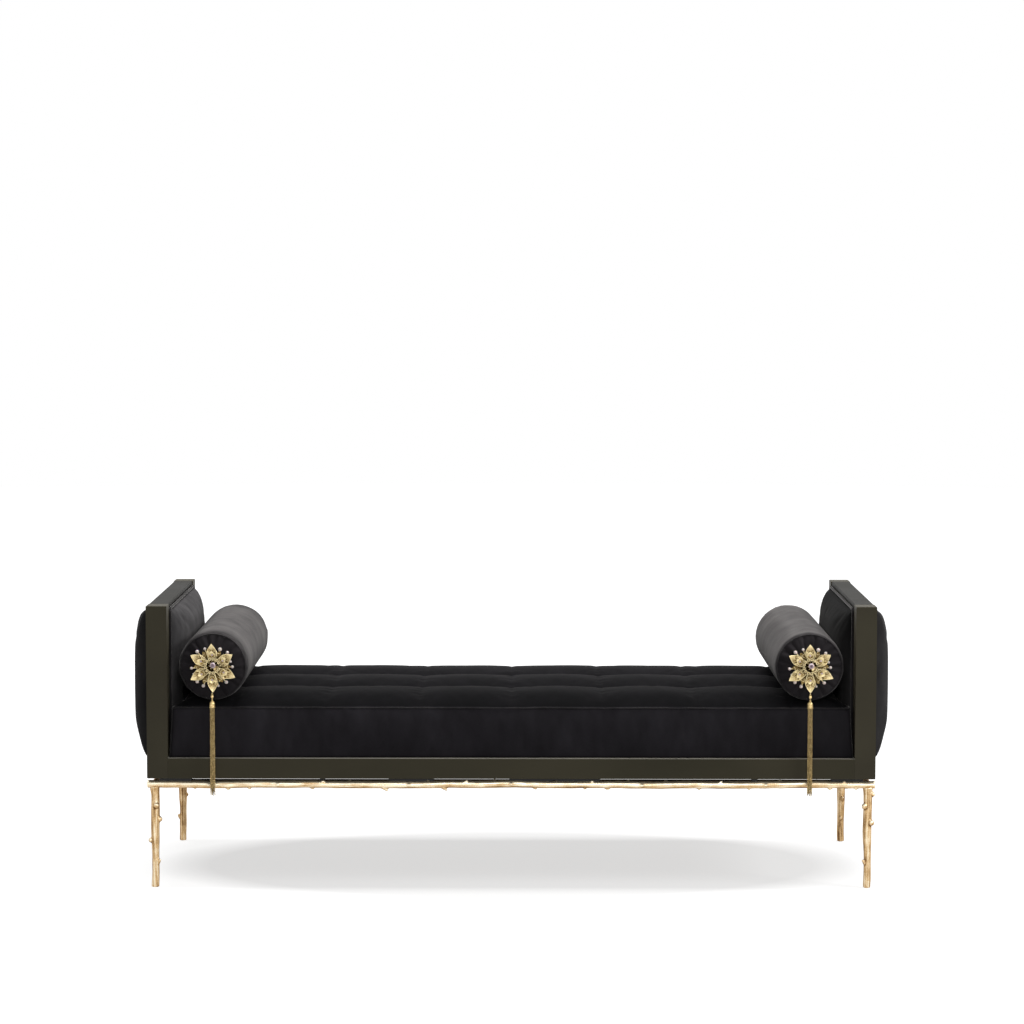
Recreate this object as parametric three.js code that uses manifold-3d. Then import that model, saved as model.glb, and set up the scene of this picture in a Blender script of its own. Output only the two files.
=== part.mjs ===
// Recamier: an upholstered bench with two padded ends, a tufted seat and two bolsters, on a base of
// cast branches. Millimetres; X along the seat, Y from front to back, Z up, the floor at zero.
import * as THREE from "three";
import { mergeVertices } from "three/addons/utils/BufferGeometryUtils.js";
import Module from "manifold-3d";

const wasm = await Module();
wasm.setup();

// Lacquered frame
const frameLength = 1830;
const frameDepth = 660;
const frameTop = 716;
const frameUnderside = 280;
const postWidth = 52;
const seatRailHeight = 52;
const seatRailThickness = 52;
const endRailWidth = 48;
const topRailHeight = 50;
const edgeChamfer = 1.5;
const jointGap = 0.3;

// Seat support under the cushion
const deckThickness = 15;
const stretcherWidth = 60;
const stretcherHeight = 19;
const stretcherPlaceShare = 0.33;

// End pads and the piping sewn round them
const padEdgeThickness = 8;
const outerPadReach = 43;
const innerPadReach = 29;
const padRoundOver = 52;
const padCrownShare = 0.08;
const padDropFromTop = 9;
const outerPadDropBelowRail = 17;
const pipingDiameter = 8;
const pipingCornerRadius = 10;
const padCornerTuck = 3;

// Tufted seat cushion
const seamHeight = 458;
const seatPuffRise = 36;
const seatFrontSetback = 14;
const seatEndGap = 1;
const seatPostGap = 12;
const seatFootSpread = 8;
const seatCrown = 8;
const puffDropAcross = 9;
const puffDropAlong = 14;
const seamDrop = 23;
const boxingBulge = 4;
const tuftColumnShares = [-1, -0.805, -0.536, -0.268, 0, 0.268, 0.536, 0.805, 1];
const tuftRowShares = [-1, -0.335, 0.335, 1];
const columnCellShares = [0, 0.12, 0.5, 0.88];
const rowCellShares = [0, 0.09, 0.26, 0.5, 0.74, 0.91];
const edgeRowCellShares = [0, 0.06, 0.15, 0.28, 0.5, 0.72, 0.9];

// Bolsters
const bolsterRadius = 87;
const bolsterSeamRadius = 81;
const bolsterSink = 18;
const bolsterSeamInset = 12;
const bolsterRestGap = 0.4;
const bolsterPadGap = 0.6;
const pleatDepth = 2.2;
const pleatCount = 16;

// Brooch on each bolster
const backPlateRadius = 30;
const backPlateThickness = 1.5;
const pearlRadius = 3.7;
const pearlPlaceRadius = 52;
const pearlHeight = 6.2;
const pearlAngleOffset = 20;
const wireRadius = 0.6;
const wireRingRadius = 20;
const petalCount = 6;
const petalTipRadius = 61;
const petalRootRadius = 10;
const petalHalfWidth = 13.5;
const petalThickness = 2.6;
const petalUnderside = 0.8;
const petalTipLift = 8;
const petalHubRadius = 13;
const sidePetalTipRadius = 42;
const sidePetalHalfWidth = 6.5;
const innerPetalTipRadius = 41;
const innerPetalHalfWidth = 9;
const innerPetalHubRadius = 11;
const settingBaseRadius = 11;
const settingRimRadius = 16;
const settingRise = 4;
const settingWall = 1.2;
const collarRadius = 18.5;
const collarWave = 2.2;
const collarWireRadius = 1.1;
const stoneRadius = 7.5;
const stoneHeight = 7;

// Tassel hung from the lowest petal
const loopRadius = 2.4;
const loopWireRadius = 0.8;
const beadRadius = 4;
const capRadius = 8;
const capHeight = 18;
const tasselRadius = 7.8;
const tasselEndRadius = 6.8;
const tasselLength = 218;
const strandCount = 10;
const strandRaggedness = 5;

// Cast branch base
const railRadius = 8;
const railAxisDrop = 18;
const railOverhang = 2;
const railSetback = 22;
const endRailRadius = 8;
const legInset = 16.5;
const legTopRadius = 13;
const legFootRadius = 9.5;
const legShoulderHeight = 7;
const legShoulderDrop = 3;
const legTopBelowAxis = 3;
const branchWander = 1.6;
const wanderWaveShares = [17, 23];
const wanderEaseShare = 0.083;
const knotHeight = 4.5;
const knotLength = 13;
const stubFootRadius = 5.3;
const stubTipRadius = 3.9;
const stubLength = 9;
const castGap = 0.4;

// Black steel bars between the frame and the branches, and the bolts through them
const barThickness = 10;
const barHeight = 16;
const barTopDrop = 8;
const barEndInset = 28;
const barClearOfRail = 5;
const spacerOverRail = 4;
const boltRadius = 4;
const boltHeadRadius = 7;
const boltHeadHeight = 5;
const boltReach = 30;

// Shares of the length where each branch has a knot, with the side it grows on in degrees:
// 90 is the top of a rail and 270 its underside
const frontRailKnotShares = [
  [0.064, 270], [0.111, 265], [0.139, 280], [0.225, 262], [0.241, 85], [0.279, 95], [0.325, 272],
  [0.386, 80], [0.408, 280], [0.437, 88], [0.478, 100], [0.533, 265], [0.56, 95], [0.6, 250],
  [0.61, 70], [0.63, 275], [0.659, 85], [0.713, 110], [0.76, 270], [0.787, 92], [0.827, 262],
  [0.868, 75], [0.919, 90], [0.938, 280], [0.957, 100], [0.973, 265],
];
const backRailKnotShares = frontRailKnotShares
  .filter((knot, n) => n % 2 === 0)
  .map(([share, side]) => [1 - share, side]);
const endRailKnotShares = [[0.2, 265], [0.42, 85], [0.6, 200], [0.8, 275]];

// Blocks on each support bar: middle and length as shares of half the frame's length, and if bolted
const spacerShares = [
  [-0.925, 0.087, true], [-0.52, 0.014, false], [-0.275, 0.125, false], [0.12, 0.25, true],
  [0.67, 0.016, false], [0.925, 0.087, true],
];

// Twig stubs on each leg: share of the height and direction in degrees, where 270 faces the front
const legStubShares = {
  front_left: [[0.86, 280], [0.7, 355], [0.46, 185], [0.27, 300]],
  front_right: [[0.93, 350], [0.79, 190], [0.64, 330], [0.25, 200]],
  back_left: [[0.9, 10], [0.64, 200], [0.35, 90]],
  back_right: [[0.88, 190], [0.62, 275], [0.3, 80]],
};

const material = (color, roughness, metalness) =>
  new THREE.MeshStandardMaterial({ color, roughness, metalness });
const lacquer = material(0x39342c, 0.45, 0);
const velvet = material(0x232124, 0.9, 0);
const piping = material(0x2b2a2b, 0.7, 0);
const timber = material(0xa98a60, 0.8, 0);
const goldCast = material(0xd8b277, 0.3, 1);
const oldGold = material(0x9c8350, 0.4, 1);
const paleGold = material(0xc2ad78, 0.35, 1);
const pearl = material(0xe6dfd6, 0.25, 0);
const crystal = material(0xc9a9b8, 0.1, 0);
const blackSteel = material(0x191919, 0.5, 1);

const recamier = new THREE.Group();

function addPiece(name, geometry, finish, parent = recamier) {
  const mesh = new THREE.Mesh(geometry, finish);
  mesh.name = name;
  parent.add(mesh);
  return mesh;
}

// Solids from lists of points and back
function geometryFrom(points, faces) {
  let volume = 0;
  for (const [a, b, c] of faces) volume += points[a].dot(points[b].clone().cross(points[c]));
  const index = volume < 0 ? faces.map(([a, b, c]) => [a, c, b]) : faces;
  const geometry = new THREE.BufferGeometry().setFromPoints(points);
  geometry.setIndex(index.flat());
  return geometry;
}

function solidFrom(geometry) {
  const bare = geometry.clone();
  bare.deleteAttribute("normal");
  bare.deleteAttribute("uv");
  const merged = mergeVertices(bare);
  const mesh = new wasm.Mesh({
    numProp: 3,
    vertProperties: new Float32Array(merged.attributes.position.array),
    triVerts: new Uint32Array(merged.index.array),
  });
  return new wasm.Manifold(mesh);
}

function geometryOf(solid) {
  const mesh = solid.getMesh();
  const geometry = new THREE.BufferGeometry();
  geometry.setAttribute("position", new THREE.BufferAttribute(mesh.vertProperties, 3));
  geometry.setIndex(new THREE.BufferAttribute(mesh.triVerts, 1));
  return geometry;
}

const join = (geometries) =>
  geometryOf(geometries.map(solidFrom).reduce((whole, next) => whole.add(next)));
const cut = (geometry, ...tools) =>
  geometryOf(tools.map(solidFrom).reduce((rest, tool) => rest.subtract(tool), solidFrom(geometry)));

// Skin over rings of points with the same count in each; open ends are closed by fans
function loft(rings, closedLoop = false) {
  const count = rings[0].length;
  const points = rings.flat();
  const faces = [];
  const bands = closedLoop ? rings.length : rings.length - 1;
  for (let r = 0; r < bands; r++) {
    const here = r * count;
    const next = ((r + 1) % rings.length) * count;
    for (let i = 0; i < count; i++) {
      const j = (i + 1) % count;
      faces.push([here + i, here + j, next + j], [here + i, next + j, next + i]);
    }
  }
  if (!closedLoop) {
    for (const [ring, turned] of [[0, true], [rings.length - 1, false]]) {
      const centre = new THREE.Vector3();
      rings[ring].forEach((p) => centre.addScaledVector(p, 1 / count));
      const hub = points.push(centre) - 1;
      for (let i = 0; i < count; i++) {
        const edge = [ring * count + i, ring * count + ((i + 1) % count)];
        faces.push(turned ? [hub, edge[1], edge[0]] : [hub, ...edge]);
      }
    }
  }
  return geometryFrom(points, faces);
}

// Torus about the local Z axis, with its wire as a ring of points at each step
function wireRing(radius, wire, steps = 10, sides = 4) {
  return new THREE.TorusGeometry(radius, wire, sides, steps);
}

// Bar with its long edges chamfered, along X, Y or Z; its ends are chamfered only where they show
function chamferedBar(low, high, along, endsShow = false) {
  const size = new THREE.Vector3().subVectors(high, low);
  const order = { x: ["y", "z", "x"], y: ["z", "x", "y"], z: ["x", "y", "z"] }[along];
  const [w, h, l] = order.map((axis) => size[axis]);
  const c = edgeChamfer;
  const inset = endsShow ? c : 0;
  const outline = new THREE.Shape([
    [c, inset], [w - c, inset], [w - inset, c], [w - inset, h - c],
    [w - c, h - inset], [c, h - inset], [inset, h - c], [inset, c],
  ].map(([x, y]) => new THREE.Vector2(x, y)));
  const geometry = new THREE.ExtrudeGeometry(outline, {
    depth: l - 2 * inset,
    bevelEnabled: endsShow,
    bevelThickness: inset,
    bevelSize: inset,
    bevelSegments: 1,
    steps: 1,
  });
  geometry.translate(0, 0, inset);
  const axes = order.map((axis) => new THREE.Vector3(+(axis === "x"), +(axis === "y"), +(axis === "z")));
  geometry.applyMatrix4(new THREE.Matrix4().makeBasis(...axes));
  return geometry.translate(low.x, low.y, low.z);
}

const corner = (x, y, z) => new THREE.Vector3(x, y, z);

// Frame
const halfLength = frameLength / 2;
const halfDepth = frameDepth / 2;
const postInner = halfLength - postWidth;
const seatRailTop = frameUnderside + seatRailHeight;
const endRailMiddle = halfLength - postWidth / 2;
const endInnerFace = endRailMiddle - endRailWidth / 2;
const endOuterFace = endRailMiddle + endRailWidth / 2;
const postBack = halfDepth - postWidth;

function span(side, near, far) {
  return side < 0 ? [-far, -near] : [near, far];
}

function addPost(side, face, name) {
  const [x0, x1] = span(side, postInner, halfLength);
  const [y0, y1] = span(face, postBack, halfDepth);
  const bar = chamferedBar(corner(x0, y0, frameUnderside), corner(x1, y1, frameTop), "z", true);
  addPiece(name, bar, lacquer);
}

function addEndRail(side, bottom, top, name) {
  const [x0, x1] = span(side, endInnerFace, endOuterFace);
  const reach = postBack - jointGap;
  addPiece(name, chamferedBar(corner(x0, -reach, bottom), corner(x1, reach, top), "y"), lacquer);
}

function addSeatRail(face, boltHoles, name) {
  const reach = postInner - jointGap;
  const [y0, y1] = span(face, halfDepth - seatRailThickness, halfDepth);
  const bar = chamferedBar(corner(-reach, y0, frameUnderside), corner(reach, y1, seatRailTop), "x");
  addPiece(name, cut(bar, ...boltHoles), lacquer);
}

function addPanelCore(side, name) {
  const [x0, x1] = span(side, endInnerFace, endOuterFace);
  const reach = postBack - jointGap;
  const bottom = seatRailTop + jointGap;
  const top = frameTop - topRailHeight - jointGap;
  addPiece(name, chamferedBar(corner(x0, -reach, bottom), corner(x1, reach, top), "y"), timber);
}

// Bolster places, which the seat makes room for
const bolsterX = endInnerFace - innerPadReach - bolsterPadGap - bolsterRadius;
const seatCrest = seamHeight + seatPuffRise;
const bolsterZ = seatCrest - bolsterSink + bolsterRadius;

// The end puffs lie pressed flat under the bolsters
function seatLimit(x) {
  const reach = bolsterRadius + bolsterRestGap;
  return Math.abs(Math.abs(x) - bolsterX) < reach ? bolsterZ - reach : seatCrest;
}

// Pads
const padInset = pipingDiameter + jointGap;
const padTop = frameTop - padDropFromTop;
const innerPadBottom = seatRailTop + jointGap;
const outerPadBottom = seatRailTop - outerPadDropBelowRail;
const padHalfDepth = postBack - jointGap;
const roundedOver = (from) => Math.sqrt(1 - (1 - Math.min(1, Math.max(0, from / padRoundOver))) ** 2);
const crowned = (low, high) => 1 - padCrownShare * ((low - high) / (low + high)) ** 2;
const swell = (fromLow, fromHigh) =>
  roundedOver(fromLow) * roundedOver(fromHigh) * crowned(fromLow, fromHigh);
const crownSpacing = (k, n) => (1 - Math.cos((Math.PI * k) / n)) / 2;

function padGeometry(side, inner, acrossCells, upCells) {
  const y1 = padHalfDepth - padInset;
  const z0 = (inner ? innerPadBottom : outerPadBottom) + padInset;
  const z1 = padTop - padInset;
  const face = inner ? endInnerFace : endOuterFace;
  const outward = inner ? -1 : 1;
  const at = (reach, y, z) => corner(side * (face + outward * reach), y, z);
  const grid = [];
  const back = [];
  for (let i = 0; i <= acrossCells; i++) {
    for (let k = 0; k <= upCells; k++) {
      const onSide = (i === 0 || i === acrossCells) && (k === 0 || k === upCells);
      const tuck = onSide ? padCornerTuck : 0;
      const yShare = 2 * crownSpacing(i, acrossCells) - 1;
      const y = yShare * y1 - Math.sign(yShare) * tuck;
      const rawZ = z0 + crownSpacing(k, upCells) * (z1 - z0);
      const z = rawZ + (k === 0 ? tuck : -tuck);
      const swelled = swell(y1 - y, y1 + y) * swell(z - z0, z1 - z);
      const most = inner ? innerPadReach : outerPadReach;
      grid.push(at(padEdgeThickness + (most - padEdgeThickness) * swelled, y, z));
      back.push(at(jointGap, y, z));
    }
  }
  return sheetSolid(grid, back, acrossCells, upCells);
}

// Closed solid between a grid of top points and the rim of a flat or boxed underside
function sheetSolid(top, under, acrossCells, upCells, rimRows = []) {
  const id = (i, k) => i * (upCells + 1) + k;
  const rim = [];
  for (let i = 0; i < acrossCells; i++) rim.push(id(i, 0));
  for (let k = 0; k < upCells; k++) rim.push(id(acrossCells, k));
  for (let i = acrossCells; i > 0; i--) rim.push(id(i, upCells));
  for (let k = upCells; k > 0; k--) rim.push(id(0, k));
  const points = [...top];
  const faces = [];
  for (let i = 0; i < acrossCells; i++) {
    for (let k = 0; k < upCells; k++) {
      const [a, b, c, d] = [id(i, k), id(i + 1, k), id(i + 1, k + 1), id(i, k + 1)];
      faces.push([a, b, c], [a, c, d]);
    }
  }
  let last = rim;
  const shapedRows = rimRows.map((shape) => rim.map((n) => shape(top[n])));
  for (const row of [...shapedRows, rim.map((n) => under[n])]) {
    const start = points.length;
    points.push(...row);
    const next = row.map((_, n) => start + n);
    next.forEach((_, n) => {
      const m = (n + 1) % next.length;
      faces.push([last[n], next[m], last[m]], [last[n], next[n], next[m]]);
    });
    last = next;
  }
  const middle = new THREE.Vector3();
  last.forEach((n) => middle.addScaledVector(points[n], 1 / last.length));
  const hub = points.push(middle) - 1;
  last.forEach((n, k) => faces.push([hub, last[(k + 1) % last.length], n]));
  return geometryFrom(points, faces);
}

// Piping: a cord round the edge of each pad, mitred round its four corners
function pipingGeometry(side, inner, cornerSteps = 3, sides = 6) {
  const r = pipingDiameter / 2;
  const y1 = padHalfDepth - r;
  const z0 = (inner ? innerPadBottom : outerPadBottom) + r;
  const z1 = padTop - r;
  const face = inner ? endInnerFace : endOuterFace;
  const outward = inner ? -1 : 1;
  const middle = face + outward * (r + jointGap);
  const rings = [];
  const bend = pipingCornerRadius;
  const corners = [[y1 - bend, z1 - bend, 0], [bend - y1, z1 - bend, 1], [bend - y1, z0 + bend, 2],
    [y1 - bend, z0 + bend, 3]];
  for (const [cy, cz, quarter] of corners) {
    for (let s = 0; s <= cornerSteps; s++) {
      const turn = (Math.PI / 2) * (quarter + s / cornerSteps);
      const ring = [];
      for (let n = 0; n < sides; n++) {
        const round = (2 * Math.PI * n) / sides;
        const reach = bend + r * Math.cos(round);
        const x = side * (middle + r * Math.sin(round));
        ring.push(corner(x, cy + reach * Math.cos(turn), cz + reach * Math.sin(turn)));
      }
      rings.push(ring);
    }
  }
  return loft(rings, true);
}

// Seat cushion
const seatHalfDepth = halfDepth - seatFrontSetback;
const seatUnderside = seatRailTop + jointGap;

// The cushion is drawn in behind the posts, where the inner pads stand out beside it
function seatHalfLength(y) {
  const besidePad = Math.abs(y) < padHalfDepth;
  return besidePad ? endInnerFace - innerPadReach - seatEndGap : postInner - seatPostGap;
}

function cells(bounds, sharesFor) {
  const places = [];
  for (let n = 0; n + 1 < bounds.length; n++) {
    for (const share of sharesFor(n)) {
      places.push({ at: bounds[n] + share * (bounds[n + 1] - bounds[n]), local: 2 * share - 1, cell: n });
    }
  }
  places.push({ at: bounds.at(-1), local: 1, cell: bounds.length - 2 });
  return places;
}

function seatGeometry() {
  const lastRow = tuftRowShares.length - 2;
  const rowShares = (n) => {
    if (n === 0) return edgeRowCellShares;
    if (n === lastRow) return [0, ...edgeRowCellShares.slice(1).map((share) => 1 - share).reverse()];
    return rowCellShares;
  };
  const columns = cells(tuftColumnShares, () => columnCellShares);
  const rows = cells(tuftRowShares, rowShares);
  const crease = 3;
  const spread = (y) => (Math.abs(y) > padHalfDepth ? seatFootSpread : 0);
  const top = [];
  const under = [];
  for (const column of columns) {
    for (const row of rows) {
      const y = row.at * seatHalfDepth;
      const x = column.at * seatHalfLength(y);
      const onSeam = (row.cell === 0 && row.local < 0) || (row.cell === lastRow && row.local > 0);
      const dropAlong = (onSeam ? seamDrop : puffDropAlong) * Math.abs(row.local) ** crease;
      const endCell = column.cell === 0 ? column.local < 0 : column.local > 0;
      const atEnd = (column.cell === 0 || column.cell === tuftColumnShares.length - 2) && endCell;
      const dropAcross = (atEnd ? seamDrop : puffDropAcross) * Math.abs(column.local) ** crease;
      const crown = seatCrest - seatCrown * row.at * row.at;
      const z = Math.max(seamHeight, crown - dropAlong - dropAcross);
      const rimPoint = Math.abs(row.at) === 1 || Math.abs(column.at) === 1;
      top.push(corner(x, y, rimPoint ? seamHeight : Math.min(z, seatLimit(x))));
      under.push(corner(x + spread(y) * column.at, y, seatUnderside));
    }
  }
  const bulge = (p) => {
    const onFront = Math.abs(Math.abs(p.y) - seatHalfDepth) < jointGap;
    const y = p.y + (onFront ? Math.sign(p.y) * boxingBulge : 0);
    const x = p.x + (spread(p.y) * p.x) / (2 * seatHalfLength(p.y));
    return corner(x, y, (seamHeight + seatUnderside) / 2);
  };
  return sheetSolid(top, under, columns.length - 1, rows.length - 1, [bulge]);
}

// Seat deck and the stretchers under it
function addSeatSupport() {
  const deckTop = seatRailTop;
  const reachX = postInner - jointGap;
  const reachY = halfDepth - seatRailThickness - jointGap;
  const deck = new THREE.BoxGeometry(2 * reachX, 2 * reachY, deckThickness);
  addPiece("seat_deck", deck, timber).position.set(0, 0, deckTop - deckThickness / 2);
  for (const [side, name] of [[-1, "left_cross_stretcher"], [1, "right_cross_stretcher"]]) {
    const bar = new THREE.BoxGeometry(stretcherWidth, 2 * reachY, stretcherHeight);
    const z = deckTop - deckThickness - jointGap - stretcherHeight / 2;
    addPiece(name, bar, timber).position.set(side * stretcherPlaceShare * halfLength, 0, z);
  }
}

// Bolster: a stuffed roll along Y with pleated, crowned ends that reach as far as the posts.
// The end's rings are shares of the seam's radius, of the crown and of the pleats' depth.
const bolsterFront = halfDepth;
const bolsterEndShares = [[0.06, 1, 0], [0.38, 1, 0.3], [0.7, 0.8, 1], [0.93, 0.36, 1], [1, 0, 0]];
function bolsterGeometry() {
  const seamY = bolsterFront - bolsterSeamInset;
  const shoulder = bolsterRadius - bolsterSeamRadius;
  const end = bolsterEndShares.map(([radiusShare, crownShare, pleatShare]) =>
    [radiusShare * bolsterSeamRadius, seamY + crownShare * bolsterSeamInset, pleatShare * pleatDepth]);
  const profile = [...end, [bolsterRadius - shoulder / 4, seamY - 2 * shoulder, 0],
    [bolsterRadius, seamY - 5 * shoulder, 0]];
  const stations = [...profile, ...profile.map(([radius, y, fold]) => [radius, -y, fold]).reverse()];
  const rings = stations.map(([radius, y, depth]) => {
    const ring = [];
    for (let n = 0; n < 2 * pleatCount; n++) {
      const turn = (Math.PI * n) / pleatCount;
      const fold = n % 2 ? -Math.sign(y) * depth : 0;
      ring.push(corner(radius * Math.cos(turn), y + fold, radius * Math.sin(turn)));
    }
    return ring;
  });
  return loft(rings);
}

// Brooch pieces, modelled with their face towards +Z and turned to the front when placed
const petalBase = 2 * jointGap + backPlateThickness + 2 * wireRadius + jointGap + petalUnderside;
const petalRise = (radius) => {
  const share = Math.max(0, radius - petalHubRadius) / (petalTipRadius - petalHubRadius);
  return petalBase + petalTipLift * share * share;
};

const leafOutlineShares = [[0, 0.5], [0.3, 0.9], [0.6, 1], [0.85, 0.5], [1, 0.08]];
const slimLeafShares = [[0, 0.5], [0.6, 1], [1, 0.08]];
function leaf(root, tip, halfWidth, lift, angle, outlineShares = leafOutlineShares) {
  const rings = outlineShares.map(([share, width]) => {
    const radius = root + share * (tip - root);
    const w = width * halfWidth;
    const base = petalRise(radius) + lift;
    const section = [[-w, 0], [0, petalThickness], [w, 0], [0, -petalUnderside]];
    return section.map(([across, up]) => corner(radius, across, base + up));
  });
  return loft(rings).rotateZ(THREE.MathUtils.degToRad(angle));
}

function disc(radius, from, to, sides = 16) {
  return new THREE.CylinderGeometry(radius, radius, to - from, sides)
    .rotateX(Math.PI / 2)
    .translate(0, 0, (from + to) / 2);
}

const petalAngles = Array.from({ length: petalCount }, (_, n) => 90 + (360 / petalCount) * n);
const hangerRadius = petalTipRadius + loopRadius;
const hangerHeight = petalRise(petalTipRadius) + petalThickness / 4;

function petalsGeometry() {
  const leaves = petalAngles.map((angle) => leaf(petalRootRadius, petalTipRadius, petalHalfWidth, 0, angle));
  const between = petalAngles.map((angle) => angle + 180 / petalCount).map((angle) =>
    leaf(petalRootRadius, sidePetalTipRadius, sidePetalHalfWidth, 0, angle, slimLeafShares));
  const hub = disc(petalHubRadius, petalBase - petalUnderside, petalBase + petalThickness / 2);
  const hanger = wireRing(loopRadius, loopWireRadius).translate(0, -hangerRadius, hangerHeight);
  return join([hub, ...leaves, ...between, hanger]);
}

const innerLift = petalThickness + petalUnderside + jointGap;
const innerTop = petalRise(collarRadius + collarWave) + innerLift + petalThickness;
function innerPetalsGeometry() {
  const leaves = petalAngles.map((angle) =>
    leaf(petalRootRadius, innerPetalTipRadius, innerPetalHalfWidth, innerLift, angle));
  const hub = disc(innerPetalHubRadius, petalBase + innerLift - petalUnderside, innerTop);
  return join([hub, ...leaves]);
}

const ball = (radius, detail) => new THREE.OctahedronGeometry(radius, detail);

function pearlsGeometry() {
  const ringHeight = 2 * jointGap + backPlateThickness + wireRadius;
  const parts = [wireRing(wireRingRadius, wireRadius, 12, 3).translate(0, 0, ringHeight)];
  for (const angle of petalAngles) {
    for (const offset of [-pearlAngleOffset, pearlAngleOffset]) {
      const turn = THREE.MathUtils.degToRad(angle + offset);
      const toward = corner(Math.cos(turn), Math.sin(turn), 0);
      const from = toward.clone().multiplyScalar(wireRingRadius).setZ(ringHeight);
      const to = toward.clone().multiplyScalar(pearlPlaceRadius).setZ(pearlHeight);
      parts.push(rod(from, to, wireRadius, 3), ball(pearlRadius, 1).translate(...to.toArray()));
    }
  }
  return join(parts);
}

function rod(from, to, radius, sides = 4) {
  const length = from.distanceTo(to);
  const up = corner(0, 1, 0);
  const turn = new THREE.Quaternion().setFromUnitVectors(up, to.clone().sub(from).normalize());
  return new THREE.CylinderGeometry(radius, radius, length, sides)
    .applyQuaternion(turn)
    .translate(...from.clone().add(to).multiplyScalar(1 / 2).toArray());
}

const settingBase = innerTop + jointGap;
const settingTop = settingBase + settingRise;
const spin = (profile, sides) =>
  new THREE.LatheGeometry(profile.map(([x, y]) => new THREE.Vector2(x, y)), sides).rotateX(Math.PI / 2);

function settingGeometry() {
  const pocket = stoneRadius + jointGap;
  const floor = settingBase + settingWall;
  const bowl = spin([[0, settingBase], [settingBaseRadius, settingBase], [settingRimRadius, settingTop],
    [settingRimRadius - settingWall, settingTop + settingWall], [pocket, floor + settingWall],
    [pocket, floor], [0, floor]], 12);
  const waves = 12;
  const rings = [];
  for (let n = 0; n < 2 * waves; n++) {
    const turn = (Math.PI * n) / waves;
    const reach = collarRadius + (n % 2 === 0 ? collarWave : -collarWave) - collarWireRadius;
    const ring = [];
    for (let s = 0; s < 3; s++) {
      const round = ((2 * Math.PI) / 3) * s;
      const out = reach + collarWireRadius * Math.cos(round);
      const up = settingTop + collarWireRadius * Math.sin(round);
      ring.push(corner(out * Math.cos(turn), out * Math.sin(turn), up));
    }
    rings.push(ring);
  }
  return join([bowl, loft(rings, true)]);
}

const stoneShares = [[0, 0], [0.6, 0], [1, 0.5], [0.7, 1], [0, 1]];
function stoneGeometry() {
  const base = settingBase + settingWall + jointGap;
  return spin(stoneShares.map(([r, z]) => [r * stoneRadius, base + z * stoneHeight]), 12);
}

// Tassel: a link, a cap and a bundle of fine chains, modelled hanging down from the hanger loop
const linkPivot = hangerRadius + loopRadius;
const linkEyeBottom = loopRadius + loopWireRadius / 2;
const beadMiddle = linkEyeBottom + beadRadius;
const lowerLoopMiddle = beadMiddle + beadRadius + loopRadius - loopWireRadius / 2;
const tasselPivot = lowerLoopMiddle + loopRadius;
const capTop = loopRadius + loopWireRadius / 2;

function linkGeometry() {
  const eye = wireRing(loopRadius - loopWireRadius / 4, loopWireRadius).rotateY(Math.PI / 2);
  const bead = ball(beadRadius, 2).translate(0, 0, -beadMiddle);
  const lower = wireRing(loopRadius, loopWireRadius).rotateY(Math.PI / 2).translate(0, 0, -lowerLoopMiddle);
  return join([eye, bead, lower]);
}

const capShares = [[0, 0], [0.35, 0], [0.55, 0.15], [0.7, 0.45], [1, 0.85], [1, 1], [0, 1]];
function capGeometry() {
  const eye = wireRing(loopRadius - loopWireRadius / 4, loopWireRadius).rotateX(Math.PI / 2);
  const bell = spin(capShares.map(([r, z]) => [r * capRadius, -capTop - z * capHeight]).reverse(), 12);
  return join([eye, bell]);
}

const chainShares = [0, 0.04, 0.35, 0.7, 1];
const grooveShare = 0.82;
function chainsGeometry() {
  const top = -(capTop + capHeight + jointGap);
  const rings = [];
  const lobes = 2 * strandCount;
  for (const share of chainShares) {
    const radius = tasselRadius + share * (tasselEndRadius - tasselRadius);
    const ring = [];
    for (let n = 0; n < lobes; n++) {
      const turn = (2 * Math.PI * n) / lobes;
      const reach = n % 2 ? radius * grooveShare : radius;
      const ragged = share === 1 ? (strandRaggedness * (1 + Math.cos(n * n))) / 2 : 0;
      ring.push(corner(reach * Math.cos(turn), reach * Math.sin(turn), top - share * tasselLength + ragged));
    }
    rings.push(ring);
  }
  return loft(rings);
}

function addBolster(side, word) {
  const place = new THREE.Group();
  place.position.set(side * bolsterX, 0, bolsterZ);
  recamier.add(place);
  addPiece(word + "_bolster", bolsterGeometry(), velvet, place);
  const brooch = new THREE.Group();
  brooch.position.y = -bolsterFront;
  brooch.rotation.x = Math.PI / 2;
  place.add(brooch);
  const plate = disc(backPlateRadius, jointGap, jointGap + backPlateThickness);
  addPiece(word + "_brooch_back_plate", plate, paleGold, brooch);
  addPiece(word + "_brooch_pearls", pearlsGeometry(), pearl, brooch);
  addPiece(word + "_brooch_petals", petalsGeometry(), paleGold, brooch);
  addPiece(word + "_brooch_inner_petals", innerPetalsGeometry(), paleGold, brooch);
  addPiece(word + "_brooch_stone_setting", settingGeometry(), oldGold, brooch);
  addPiece(word + "_brooch_stone", stoneGeometry(), crystal, brooch);
  const tassel = new THREE.Group();
  tassel.position.set(0, -bolsterFront - hangerHeight, -linkPivot);
  place.add(tassel);
  addPiece(word + "_tassel_link", linkGeometry(), oldGold, tassel);
  addPiece(word + "_tassel_cap", capGeometry(), oldGold, tassel).position.z = -tasselPivot;
  addPiece(word + "_tassel_chains", chainsGeometry(), oldGold, tassel).position.z = -tasselPivot;
}

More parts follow.
